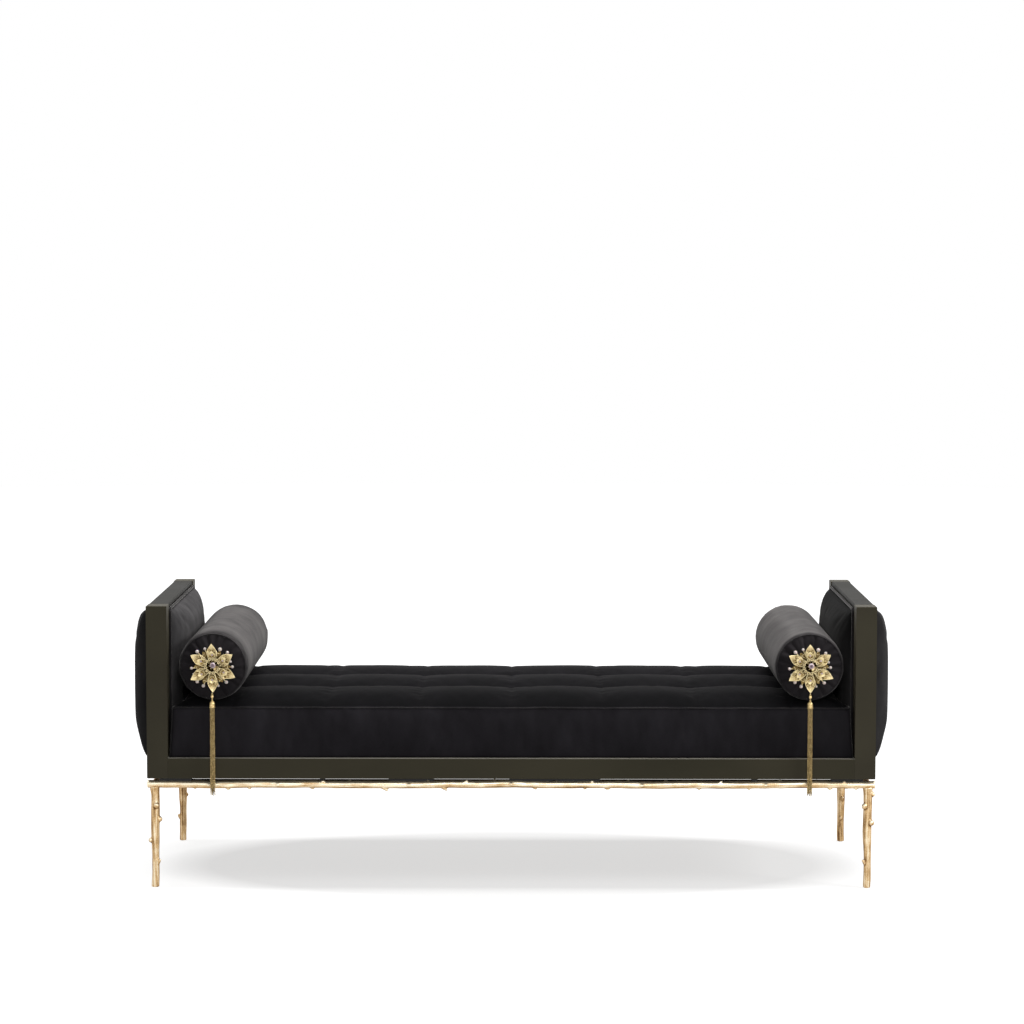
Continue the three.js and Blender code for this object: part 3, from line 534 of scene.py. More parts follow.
def shape_seat(points):
    u, v, level = points.T
    x_share, across, column = along_cells(u, COLUMN_CELLS, COLUMN_LINES)
    y_share, along, row = along_cells(v, ROW_CELLS, ROW_LINES)
    y = y_share * seat_half_depth
    half_length = 835 * MM + 16 * MM * smoothstep(262 * MM, 284 * MM, np.abs(y))
    x = x_share * half_length
    from_rim_y = seat_half_depth - np.abs(y)
    from_rim_x = half_length - np.abs(x)
    end_row = ((row == 0) & (along < 0)) | ((row == len(ROW_CELLS) - 1) & (along > 0))
    end_column = ((column == 0) & (across < 0)) | ((column == len(COLUMN_CELLS) - 1) & (across > 0))
    drop_row = np.where(end_row, 20, 15) * MM * np.abs(along) ** 2.6
    shallow = np.where(row == len(ROW_CELLS) - 1, 0.8, 3.8)
    drop_column = np.where(end_column, 20, shallow) * MM * np.abs(across) ** 2
    crown = seat_crest - 8 * MM * y_share ** 2
    top = crown - drop_row - drop_column
    shoulder = np.sqrt(np.clip(np.minimum(from_rim_x, from_rim_y) / (16 * MM), 0, 1))
    top = seam_height + (top - seam_height) * shoulder
    top = np.minimum(top, under_bolster(x))
    down = -level / BOXING_ROWS
    z = np.where(level < 0, seam_height - down * (seam_height - seat_foot), top)
    belly = np.sin(math.pi * np.clip(down, 0, 1)) ** 0.8
    y = y + np.where(np.abs(v) == 1, np.sign(v) * 4 * MM * belly, 0)
    in_front = smoothstep(270 * MM, 284 * MM, np.abs(y))
    x = x + x_share ** 9 * 8 * MM * in_front * np.clip(down, 0, 1) ** 1.3
    sewn = (np.abs(np.abs(across) - 1) < 1e-6) | (np.abs(np.abs(along) - 1) < 1e-6)
    sewn = ((level == 0) & sewn) | (down > 0.9)
    return np.stack([x, y + middle_y, z], 1), sewn


def under_bolster(x):
    reach = bolster_radius + 0.6 * MM
    aside = np.clip(np.abs(np.abs(x) - bolster_x), 0, reach)
    return np.where(aside < reach * 0.9, bolster_z - np.sqrt(reach ** 2 - aside ** 2), 1.0)


def clear_of_bolsters(points):
    points[:, 2] = np.minimum(points[:, 2], np.where(points[:, 2] > seam_height,
                                                     under_bolster(points[:, 0]), 1.0))
    return points


def pucker_seat(points):
    """Small folds that run out from the channels and from the top seam."""
    x, y, z = points.T
    on_top = z > seam_height + 2 * MM
    line_x = np.array(COLUMN_LINES[1:-1]) * 851 * MM
    line_y = np.array(ROW_LINES[1:-1]) * seat_half_depth + middle_y
    to_column = np.abs(x[:, None] - line_x).min(1)
    to_row = np.abs(y[:, None] - line_y).min(1)
    to_front = np.abs(np.abs(y - middle_y) - seat_half_depth)
    ripple = noise_of(np.stack([x * 95, y * 30, z * 18], 1), 1.0, 3.1)
    ripple_row = noise_of(np.stack([x * 18, y * 95, z * 18], 1), 1.0, 7.7)
    push = np.where(on_top, 1.6 * MM * ripple * np.exp(-to_row / (16 * MM)), 0)
    push += np.where(on_top, 1.6 * MM * ripple_row * np.exp(-to_column / (16 * MM)), 0)
    near_seam = np.exp(-np.abs(z - seam_height) / (13 * MM)) * np.exp(-to_front / (12 * MM))
    push += 1.3 * MM * ripple * near_seam
    broad = noise_of(points, 9, 1.3) * 1.5 * MM
    points[:, 2] += np.where(on_top, push + broad, 0)
    outward = np.sign(y - middle_y) * np.where(to_front < 9 * MM, push + broad, 0)
    points[:, 1] += np.where(on_top, 0, outward)
    column_depth = 0.9 - 0.7 * smoothstep(90 * MM, 150 * MM, y - middle_y)
    groove = np.where(on_top, MM * (column_depth * np.exp(-(to_column / (4.5 * MM)) ** 2)
                                    + 1.4 * np.exp(-(to_row / (4.5 * MM)) ** 2)), 0)
    points[:, 2] -= groove
    return points


seat = add_piece("seat_quilt", seat_start(), seat_velvet, stands_for=["seat_cushion"])
start, sewn = shape_seat(read_points(seat.data))
write_points(seat.data, start)
plump(seat, sewn, pressure=3.0, slack=0.008, cap=4 * MM)
subdivide(seat)
write_points(seat.data, clear_of_bolsters(pucker_seat(read_points(seat.data))))
close_back(seat)
places = read_points(seat.data)
# Painted light and sheen: the top is painted paler towards the back, and the boxing paler on the left than on
# the right.
uphill = smoothstep(-seat_half_depth, seat_half_depth, places[:, 1] - middle_y)
leftward = 0.85 - 0.2 * places[:, 0]
write_painted_light(seat.data, np.where(places[:, 2] > seam_height + 1 * MM, 0.25 * uphill, leftward))
print("seat crest in mm:", round(max(v.co.z for v in seat.data.vertices) / MM, 1))

# %% [markdown]
# Where the top meets the boxing, the two layers of velvet turn in and leave a thin lip. It is a rod
# swept along the seam, a millimetre and a half in radius, that wavers a little as hand-fed cloth
# does. Short upright lips close the boxing at the four corners.

# %% Seams of the seat
def rounded_loop(half_x, half_y, corner, step=8 * MM):
    """Points round a rectangle with round corners, centred on zero."""
    points = []
    for quarter, (sx, sy) in enumerate([(1, 1), (-1, 1), (-1, -1), (1, -1)]):
        for n in range(7):
            turn = math.pi / 2 * (quarter + n / 6)
            points.append((sx * (half_x - corner) + corner * math.cos(turn),
                           sy * (half_y - corner) + corner * math.sin(turn)))
    dense = []
    for (ax, ay), (bx, by) in zip(points, points[1:] + points[:1]):
        parts = max(1, round(math.hypot(bx - ax, by - ay) / step))
        dense += [(ax + (bx - ax) * n / parts, ay + (by - ay) * n / parts) for n in range(parts)]
    return dense


def add_seat_seams():
    bm = bmesh.new()
    loop = rounded_loop(851 * MM, seat_half_depth + 0.6 * MM, 5 * MM)
    waver = [0.9 * MM * noise.noise((x * 30, y * 30, 0)) for x, y in loop]
    path = [(math.copysign(min(abs(x), 835 * MM + 16 * MM * float(smoothstep(0.262, 0.284, abs(y)))),
                           x), y + middle_y, seam_height + w) for (x, y), w in zip(loop, waver)]
    add_rod(bm, path, [1.5 * MM + w / 2 for w in waver], closed=True, sides=8)
    for side in (-1, 1):
        for face in (-1, 1):
            drop = np.linspace(0, 1, 16)
            line = [(side * (851 + 8 * t ** 1.3) * MM,
                     middle_y + face * (seat_half_depth + 4 * MM * math.sin(math.pi * t) ** 0.8),
                     seam_height - t * (seam_height - seat_foot)) for t in drop]
            add_rod(bm, line, [1.4 * MM] * len(line), sides=6)
    bmesh.ops.remove_doubles(bm, verts=bm.verts, dist=1e-6)
    return bm


add_piece("seat_seam_lips", add_seat_seams(), cord_velvet)

# %% [markdown]
# Each end has two pads of foam under velvet, one inside and one outside, stapled along their border.
# A pad is a grid again: its face swells from a thin border to a full middle and turns over roundly
# at its sides. The inner one starts gently at the front post and is fullest towards the back, and the
# outer one turns over softly at the bottom, where its cover is pulled under. Light and shade are
# painted into the velvet: faces turned to the right, towards the lamp there, are painted paler than
# faces turned to the left, and the painted light changes with height.

# %% End pads
PAD_CELL = 7 * MM
# Painted light for each pad: its level at the bottom and at the top.
pad_painted_light = {"left_inner": (0.6, 1), "right_inner": (0.5, 0), "left_outer": (0.3, 0.3),
            "right_outer": (0.4, 0.45)}
pad_edge = 8 * MM


def turn_over(distance, reach):
    return np.sqrt(1 - (1 - np.clip(distance / reach, 0, 1)) ** 2)


def pad_start(width, height):
    bm = bmesh.new()
    bmesh.ops.create_grid(bm, x_segments=round(width / PAD_CELL), y_segments=round(height / PAD_CELL),
                          size=1)
    rim = [e for e in bm.edges if e.is_boundary]
    for level in (1, 2):
        grown = bmesh.ops.extrude_edge_only(bm, edges=rim)["geom"]
        for vert in grown:
            if isinstance(vert, bmesh.types.BMVert):
                vert.co.z = -level
        rim = [e for e in grown if isinstance(e, bmesh.types.BMEdge) and e.is_boundary]
    return bm


def make_pad(side, where, low_turn, front_turn, back_turn, fullness):
    word = "left" if side < 0 else "right"
    node = f"{word}_{where}_pad"
    low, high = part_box(node)
    facing = side if where == "outer" else -side
    back = (low.x if facing > 0 else high.x)
    reach = high.x - low.x
    width, height = high.y - low.y, high.z - low.z
    pad = add_piece(node.replace("_pad", "_velvet_pad"), pad_start(width, height), pad_velvet,
                    stands_for=[node])
    a, b, level = read_points(pad.data).T
    y, z = low.y + (a + 1) / 2 * width, low.z + (b + 1) / 2 * height
    swell = (turn_over(y - low.y, front_turn) * turn_over(high.y - y, back_turn)
             * turn_over(z - low.z, low_turn) * turn_over(high.z - z, 50 * MM))
    crown = 1 - 0.1 * a ** 2 - 0.06 * b ** 2
    out = pad_edge + (reach * fullness - pad_edge) * swell * crown
    out = np.where(level < 0, pad_edge * (2 + level) / 2, out)
    write_points(pad.data, np.stack([back + facing * out, y, z], 1))
    if facing < 0:
        pad.data.flip_normals()
    plump(pad, (level < 0) | (np.abs(a) == 1) | (np.abs(b) == 1), 3.0, 0.004, 4 * MM)
    subdivide(pad)
    points = read_points(pad.data)
    if where == "inner":
        points = clear_inner_pad(points, side)
    write_points(pad.data, points)
    close_back(pad)
    # Painted light and shade, blended from the bottom level to the top one.
    low_painted_light, high_painted_light = pad_painted_light[f"{word}_{where}"]
    rise = smoothstep(430 * MM, 690 * MM, read_points(pad.data)[:, 2])
    write_painted_light(pad.data, low_painted_light + (high_painted_light - low_painted_light) * rise)
    return pad


def clear_inner_pad(points, side):
    """Keeps the pad off the bolster and the seat."""
    x, y, z = np.abs(points[:, 0]), points[:, 1], points[:, 2]
    reach = bolster_radius + 0.9 * MM
    aside = np.clip(np.abs(z - bolster_z), 0, reach)
    beside_bolster = bolster_x + np.sqrt(reach ** 2 - aside ** 2)
    beside_seat = np.interp(z, [seat_crest + 2 * MM, seat_crest + 40 * MM], [836.3 * MM, 800 * MM])
    points[:, 0] = side * np.maximum(x, np.maximum(beside_bolster, beside_seat))
    return points


for side in (-1, 1):
    make_pad(side, "inner", 50 * MM, 200 * MM, 80 * MM, 1.46)
    make_pad(side, "outer", 84 * MM, 52 * MM, 52 * MM, 1.02)

# %% [markdown]
# Piping is cord wrapped in a bias strip of velvet and sewn round the border of each pad. A curve
# with a round bevel sweeps it in one go, and a little noise along the path stops it from looking
# machined. It follows the middle of the solid that it stands for.

# %% Piping
def add_piping(side, where):
    word = "left" if side < 0 else "right"
    node = f"{word}_{where}_piping"
    low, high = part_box(node)
    radius = 4 * MM
    mid_x, mid_y, mid_z = (low + high) / 2
    half_y, half_z = (high.y - low.y) / 2 - radius, (high.z - low.z) / 2 - radius
    path = []
    radii = []
    for y, z in rounded_loop(half_y, half_z, 12 * MM, 5 * MM):
        waver = noise.noise((y * 45, z * 45, side * 3))
        path.append((mid_x + 0.25 * MM * waver, mid_y + y, mid_z + z))
        radii.append(radius * (0.93 + 0.05 * waver + 0.03 * math.sin((y + z) * 900)))
    bm = bmesh.new()
    add_rod(bm, path, radii, closed=True, sides=12)
    bmesh.ops.remove_doubles(bm, verts=bm.verts, dist=1e-6)
    add_piece(f"{word}_{where}_piping_cord", bm, cord_velvet, stands_for=[node])


for side in (-1, 1):
    for where in ("inner", "outer"):
        add_piping(side, where)

# %% [markdown]
# A bolster is a roll of fibre in a velvet sleeve. Its ends are gathered: the sleeve's edge is drawn
# to the middle in pleats, under the jewelled flower. A profile from the middle of one end to the
# middle of the other is spun round the axis. The pleats are sculpted in code, because the gathering
# is finer than the simulation, which then fills the roll.

# %% Bolsters
SPIN_STEPS = 176
seam_radius = 81 * MM
face_rings = [3, 9, 15, 21, 27, 33, 39, 45, 51, 56, 61, 66, 70, 73.5, 76.5, 79, 80.4]
shoulder_rings = [(81.2, 0.3), (83.6, 2.4), (85.4, 6), (86.5, 11.5), (87, 19)]
half_length = (bolster_high.y - bolster_low.y) / 2
seam_along = half_length - 12 * MM


def end_height(radius):
    return seam_along + 11 * MM * (1 - (radius / seam_radius) ** 2.2)


def bolster_profile():
    end = [(r * MM, end_height(r * MM)) for r in face_rings]
    end += [(r * MM, seam_along - d * MM) for r, d in shoulder_rings]
    inner = seam_along - shoulder_rings[-1][1] * MM
    between = [(87 * MM, z) for z in np.linspace(inner, -inner, 74)[1:-1]]
    return end + between + [(r, -z) for r, z in reversed(end)]


def add_pleats(points, seed):
    """Gathers the ends and rubs a few soft folds into the roll."""
    chance = random.Random(seed)
    around = np.arctan2(points[:, 1], points[:, 0])
    radius = np.hypot(points[:, 0], points[:, 1])
    height = points[:, 2]
    front = np.sign(height)
    on_end = np.abs(height) > seam_along - 1 * MM
    fold = np.zeros(len(points))
    ridge = np.zeros(len(points))
    count = 17
    for n in range(count):
        turn = 2 * math.pi * (n + chance.uniform(-0.28, 0.28)) / count
        width = chance.uniform(0.055, 0.1)
        depth = chance.uniform(0.6, 1.15)
        inner = chance.uniform(14, 44) * MM
        lean = chance.uniform(-0.12, 0.12)
        aside = around - turn - lean * (1 - radius / seam_radius)
        aside = (aside + math.pi) % (2 * math.pi) - math.pi
        reach = smoothstep(inner, inner + 20 * MM, radius)
        fold += depth * reach * np.exp(-np.abs(aside / width) ** 1.4)
        ridge += depth * reach * np.exp(-((aside - 1.7 * width) / width) ** 2)
    push = (2.6 * ridge - 3.4 * fold) * MM
    ease = 1 - 0.55 * smoothstep(72 * MM, 81 * MM, radius)
    height = height + np.where(on_end, front * push * ease, 0)
    from_seam = seam_along - np.abs(height)
    puckers = noise_of(np.stack([np.cos(around) * 5.5, np.sin(around) * 5.5, front], 1), 1.0, seed)
    near = np.where(on_end, 0, np.exp(-np.abs(from_seam) / (20 * MM)))
    radius = radius - np.where(on_end, 0, (1.1 * fold + 1.0 + puckers) * MM * near * 0.8)
    lumps = noise_of(np.stack([points[:, 0] * 9, points[:, 1] * 9, height * 5], 1), 1.0, seed + 5)
    radius = np.where(on_end, radius, radius + 0.9 * MM * (lumps - 0.8))
    radius = np.minimum(radius, bolster_radius - 0.1 * MM)
    return np.stack([radius * np.cos(around), radius * np.sin(around), height], 1)


def mark_bolster_painted_light(mesh, offset, seed, lit):
    """Paints light and shade into the colour: pale on the roll as painted light and sheen, dark on the
    gathered ends as painted shade, with a mottled border between. The last argument holds the
    direction of the painted light, where along it the pale starts and is full, and the width of the
    border in mm."""
    from_seam = seam_along - np.abs(offset[:, 1])
    mottle = noise_of(offset * (38, 38, 38), 1.0, seed) * 9 * MM
    painted_light_level = smoothstep(0, lit[4] * MM, from_seam + mottle)
    towards = offset[:, [0, 2]] @ np.array(lit[:2]) / bolster_radius
    painted_light_level = (0.25 + 0.75 * painted_light_level) * (0.35 + 0.65 * smoothstep(lit[2], lit[3], towards))
    write_painted_light(mesh, np.where(from_seam < 1 * MM, 0, painted_light_level))


def make_bolster(word, seed, lit):
    low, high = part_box(f"{word}_bolster")
    middle = (low + high) / 2
    bm = bmesh.new()
    add_turned(bm, bolster_profile(), SPIN_STEPS)
    open_ends = [e for e in bm.edges if e.is_boundary]
    bmesh.ops.holes_fill(bm, edges=open_ends, sides=0)
    bmesh.ops.recalc_face_normals(bm, faces=bm.faces)
    bolster = add_piece(f"{word}_bolster_roll", bm, bolster_velvet, f"{word}_bolster",
                        [f"{word}_bolster"])
    points = add_pleats(read_points(bolster.data), seed)
    along_y = Matrix.Rotation(math.pi / 2, 3, "X")
    points = points @ np.array(along_y).T + np.array(middle)
    write_points(bolster.data, points)
    away = np.hypot(points[:, 0] - middle.x, points[:, 2] - middle.z)
    from_middle = np.abs(points[:, 1] - middle.y)
    seam = (np.abs(away - 80.6 * MM) < 1 * MM) | (away < 28 * MM)
    plump(bolster, seam, 2.0, 0.012, 2.5 * MM)
    points = read_points(bolster.data)
    offset = points - np.array(middle)
    away = np.hypot(offset[:, 0], offset[:, 2])
    pull = np.minimum(1, (bolster_radius - 0.1 * MM) / np.maximum(away, 1e-9))
    offset[:, 0] *= pull
    offset[:, 2] *= pull
    offset[:, 1] = np.clip(offset[:, 1], -half_length + 0.2 * MM, half_length - 0.2 * MM)
    write_points(bolster.data, offset + np.array(middle))
    mark_bolster_painted_light(bolster.data, offset, seed, lit)
    return middle


# Painted light for each roll: the direction it comes from, where along it the pale starts and is full, and the
# width of the mottled border in mm.
bolster_middle = {"left": make_bolster("left", 4, (0.5, 0.87, 0.0, 0.9, 90)),
                  "right": make_bolster("right", 11, (0.1, 0.99, -1.1, 0.4, 28))}


def add_bolster_seam(word):
    """The thin lip where the gathered end is sewn to the sleeve."""
    middle = bolster_middle[word]
    bm = bmesh.new()
    for face in (-1, 1):
        path, radii = [], []
        for n in range(96):
            turn = 2 * math.pi * n / 96
            waver = noise.noise((math.cos(turn) * 6, math.sin(turn) * 6, face + middle.x))
            reach = seam_radius + 0.8 * MM * waver
            path.append((middle.x + reach * math.cos(turn),
                         middle.y + face * (seam_along + 0.6 * MM), middle.z + reach * math.sin(turn)))
            radii.append(1.1 * MM * (1 + 0.3 * waver))
        add_rod(bm, path, radii, closed=True, sides=6)
    bmesh.ops.remove_doubles(bm, verts=bm.verts, dist=1e-6)
    add_piece(f"{word}_bolster_seam_lips", bm, cord_velvet, f"{word}_bolster")


for word in ("left", "right"):
    add_bolster_seam(word)

# %% [markdown]
# The base is cast from real twigs. Rods are swept along slightly wandering paths, and knots, round
# buds and cut twigs are pushed into them as separate shapes. A voxel remesh then wraps one skin
# round the lot, as the mould did, and smoothing melts the joins. Bark lines are sculpted last, as
# noise stretched along the branch. The knots sit where the photograph shows them.

# %% Branches
BRANCH_VOXEL = 1.7 * MM
rail_z = 263 * MM
rail_half = 917 * MM
leg_x = 898.5 * MM
rail_reach = 308 * MM


def bud(bm, spot, outward, axis, size, kind):
    """kind is ball, bump, twig, thorn or knot; outward points away from the branch."""
    place = Matrix.Translation(spot)
    turn = outward.to_track_quat("Z", "Y").to_matrix().to_4x4()
    if kind == "knot":
        lean = axis.to_track_quat("Z", "Y").to_matrix().to_4x4()
        bmesh.ops.create_icosphere(bm, subdivisions=2, radius=size,
                                   matrix=place @ lean @ Matrix.Diagonal((1, 1, 1.5, 1)))
        return
    neck = spot - outward * size * 1.2
    if kind == "thorn":
        tip = spot + outward * size * 1.1 + axis * size * 0.9
        add_rod(bm, [neck - axis * size * 1.2, spot - axis * size * 0.2, tip],
                [size * 1.15, size * 0.85, size * 0.3], sides=8)
    if kind == "bump":
        bmesh.ops.create_icosphere(bm, subdivisions=2, radius=size, matrix=place)
    if kind == "ball":
        bmesh.ops.create_icosphere(bm, subdivisions=2, radius=size,
                                   matrix=place @ turn @ Matrix.Diagonal((1, 1, 0.85, 1)))
        add_rod(bm, [neck, spot], [size * 0.95, size * 0.7], sides=8)
    if kind == "twig":
        tip = spot + outward * size * 0.6 + axis * size * 1.5
        add_rod(bm, [neck - axis * size, spot, tip], [size * 0.85, size * 0.8, size * 0.62], sides=8)


def grow_branch(name, path, radii, buds, stands_for, seed, painted_brightness=0.3):
    """buds are (share along, direction in degrees, size in mm, kind); see bud()."""
    bm = bmesh.new()
    add_rod(bm, path, radii, sides=14)
    axis = (path[-1] - path[0]).normalized()
    side = Vector((1, 0, 0)) if abs(axis.z) > 0.5 else Vector((0, 0, 1)).cross(axis)
    up = axis.cross(side)
    for share, facing, size, kind in buds:
        n = min(len(path) - 1, max(0, round(share * (len(path) - 1))))
        turn = math.radians(facing)
        outward = side * math.cos(turn) + up * math.sin(turn)
        out = radii[n] + size * MM * {"knot": -0.5, "bump": 0, "twig": -0.1, "thorn": -0.2, "ball": 0.25}[kind]
        bud(bm, path[n] + outward * out, outward, axis, size * MM, kind)
    branch = add_piece(name, bm, cast_gold, stands_for=stands_for)
    skin = branch.modifiers.new("skin", "REMESH")
    skin.mode, skin.voxel_size, skin.use_smooth_shade = "VOXEL", BRANCH_VOXEL, True
    melt = branch.modifiers.new("melt", "SMOOTH")
    melt.factor, melt.iterations = 0.5, 4
    apply_modifiers(branch)
    mesh = branch.data
    points = read_points(mesh)
    normals = np.empty_like(points).ravel()
    mesh.vertices.foreach_get("normal", normals)
    squeeze = np.eye(3) - 0.93 * np.outer(axis, axis)
    streaks = noise_of(points @ squeeze, 240, seed)
    dents = noise_of(points, 48, seed + 2)
    normals = normals.reshape(-1, 3)
    ends = np.abs(normals @ np.array(axis)) > 0.8
    depth = (0.42 * streaks + 0.55 * dents) * MM
    write_points(mesh, points + normals * np.where(ends, 0, depth)[:, None])
    mark_relief(mesh, 2.2)
    patina_and_painted_light = np.empty(len(points), np.float32)
    mesh.attributes["patina_and_painted_light"].data.foreach_get("value", patina_and_painted_light)
    # Painted light: skin that faces up is painted paler, and the last argument lifts the whole branch, most on
    # the rails, less on the front legs and least on the back legs, which stand in more shade.
    patina_and_painted_light = 0.55 * patina_and_painted_light + painted_brightness + 0.3 * streaks + 0.14 * dents + 0.3 * normals[:, 2]
    patina_and_painted_light = np.clip(patina_and_painted_light, 0, 1)
    mesh.attributes["patina_and_painted_light"].data.foreach_set("value", patina_and_painted_light.astype(np.float32))
    return branch


def wander(start, end, radius_at, seed, step=6 * MM):
    """A path from start to end that strays a little, with its radii."""
    length = (end - start).length
    count = round(length / step)
    path, radii = [], []
    for n in range(count + 1):
        s = n / count
        free = min(1, s * (1 - s) / 0.083)
        here = start.lerp(end, s)
        stray = noise.noise_vector(here * 9 + Vector((seed, 0, 0))) * 2.4 * MM * free
        path.append(here + stray - stray.project(end - start))
        radii.append(radius_at(s) * (1 + 0.07 * noise.noise(here * 28 + Vector((0, seed, 0)))))
    return path, radii


def rail_share(x):
    return (x * MM + rail_half) / (2 * rail_half)


below = [(-799, 3), (-714, 5), (-662, 4.5), (-504, 4.5), (-320, 8), (-168, 7.5), (60, 5), (184, 4),
         (239, 5.5), (476, 4.5), (599, 4), (804, 5.5), (867, 4)]
above = [(-474, 5), (-406, 4), (-210, 4.5), (-115, 5), (-41, 4.5), (111, 4), (201, 4.5), (292, 4.5),
         (390, 4), (526, 4.5), (675, 4.5), (768, 4), (839, 4)]
kinds_below = {-504: "twig", -320: "thorn", -168: "thorn", 60: "thorn", 239: "twig", 804: "bump"}
front_buds = [(rail_share(x), 262, size * 0.95, kinds_below.get(x, "bump")) for x, size in below]
front_buds += [(rail_share(x), 95 if n % 3 else 125, size * 0.9, "thorn" if n % 2 else "bump")
               for n, (x, size) in enumerate(above)]
front_buds += [(rail_share(x), 180, 4, "knot") for x in (-760, -585, -260, 0, 330, 640)]
for face, word, buds in ((-1, "front", front_buds),
                         (1, "back", [(1 - s, a, size, k) for s, a, size, k in front_buds[::2]])):
    y = middle_y + face * rail_reach
    path, radii = wander(Vector((-rail_half, y, rail_z)), Vector((rail_half, y, rail_z)),
                         lambda s: 9.9 * MM, 3 + face)
    grow_branch(f"{word}_cast_rail", path, radii, buds, [f"{word}_branch_rail"], face * 5)
for side, word in ((-1, "left"), (1, "right")):
    reach = rail_reach
    path, radii = wander(Vector((side * leg_x, middle_y - reach, rail_z)),
                         Vector((side * leg_x, middle_y + reach, rail_z)), lambda s: 9.3 * MM, 20 + side)
    buds = [(0.2, 275, 4.5, "bump"), (0.42, 85, 4, "knot"), (0.6, 200, 4.5, "bump"), (0.8, 275, 4, "knot")]
    grow_branch(f"{word}_cast_rail", path, radii, buds, [f"{word}_branch_rail"], side * 9)

# %% [markdown]
# The legs are thicker twigs that taper to the floor. Each has its own buds: round ones on short
# necks, low bumps, and one cut twig. Their directions are degrees round the leg, where 0 is the
# bench's right-hand side and 270 its front.

# %% Legs
leg_height = 257 * MM
leg_buds = {
    "front_left": [(0.82, 285, 7.5, "ball"), (0.67, 350, 7.5, "bump"), (0.46, 190, 6.5, "ball"),
                   (0.26, 325, 7, "thorn")],
    "front_right": [(0.935, 340, 6.5, "ball"), (0.815, 222, 8, "ball"), (0.65, 318, 8, "ball"),
                    (0.25, 205, 7, "thorn")],
    "back_left": [(0.9, 10, 5.5, "bump"), (0.48, 20, 5, "bump"), (0.26, 190, 6.5, "thorn")],
    "back_right": [(0.885, 195, 7, "bump"), (0.46, 285, 6.5, "thorn"), (0.25, 270, 5, "knot")],
}
for number, (word, buds) in enumerate(leg_buds.items()):
    x = leg_x * (1 if "right" in word else -1)
    y = middle_y + rail_reach * (1 if "back" in word else -1)
    radius_at = lambda s: (9.6 + 1.6 * smoothstep(0.3, 0.6, s) + 1.6 * smoothstep(0.92, 1, s)) * MM
    path, radii = wander(Vector((x, y, 0.4 * MM)), Vector((x, y, leg_height)), radius_at, 40 + number)
    # The front legs are painted brighter than the back legs: painted light.
    painted_brightness = 0.12 if "front" in word else 0.02
    grow_branch(f"{word}_cast_leg", path, radii, buds, [f"{word}_leg"], 60 + number, painted_brightness)

# %% [markdown]
# Each bolster wears a jewelled flower: six large leaves, twelve smaller ones over and between them,
# slim leaves, pearls on stems, and a crystal in a cup of little rings. A jeweller makes one leaf well and
# repeats it, and so does this cell. A leaf is a grid bent into shape and given a thickness, with
# wires soldered on as its rim and ribs. Everything is built flat, X to the right, Y up, Z outward.

# %% Brooch leaves
brooch_plane = frame_front - 0.005 * MM
petal_tips = [(91, 59), (33, 60), (-25, 62.5), (-89, 63), (-149, 62), (149.5, 61.5)]
pearl_spots = [(111.8, 49.4, 3.8), (134, 54, 5), (66.4, 49, 5.2), (44, 53, 4.4), (16.9, 48, 3.1),
               (0.9, 50.3, 4.1), (-47.2, 51.4, 4.8), (-72.1, 49.4, 3.3), (-115.8, 52.2, 4.8),
               (-136.2, 52.8, 4.8), (-159.7, 50, 3.3), (-177.2, 52, 4.1)]


def paint(bm, first, level):
    """Sets the tone attribute, patina and painted light, on the points added since first. level is a number or a
    function.
    """
    layer = bm.verts.layers.float.get("patina_and_painted_light") or bm.verts.layers.float.new("patina_and_painted_light")
    bm.verts.ensure_lookup_table()
    for vert in bm.verts[first:]:
        vert[layer] = level(vert.co) if callable(level) else level


def paint_shade(bm, first, share):
    layer = bm.verts.layers.float["patina_and_painted_light"]
    bm.verts.ensure_lookup_table()
    for vert in bm.verts[first:]:
        vert[layer] *= share


def add_ring(bm, centre, radius, wire, axis="Z", steps=12, sides=6):
    turns = [2 * math.pi * n / steps for n in range(steps)]
    across = {"Z": (Vector((1, 0, 0)), Vector((0, 1, 0))), "X": (Vector((0, 1, 0)), Vector((0, 0, 1))),
              "Y": (Vector((1, 0, 0)), Vector((0, 0, 1)))}[axis]
    path = [Vector(centre) + (across[0] * math.cos(t) + across[1] * math.sin(t)) * radius for t in turns]
    add_rod(bm, path, [wire] * steps, closed=True, sides=sides)


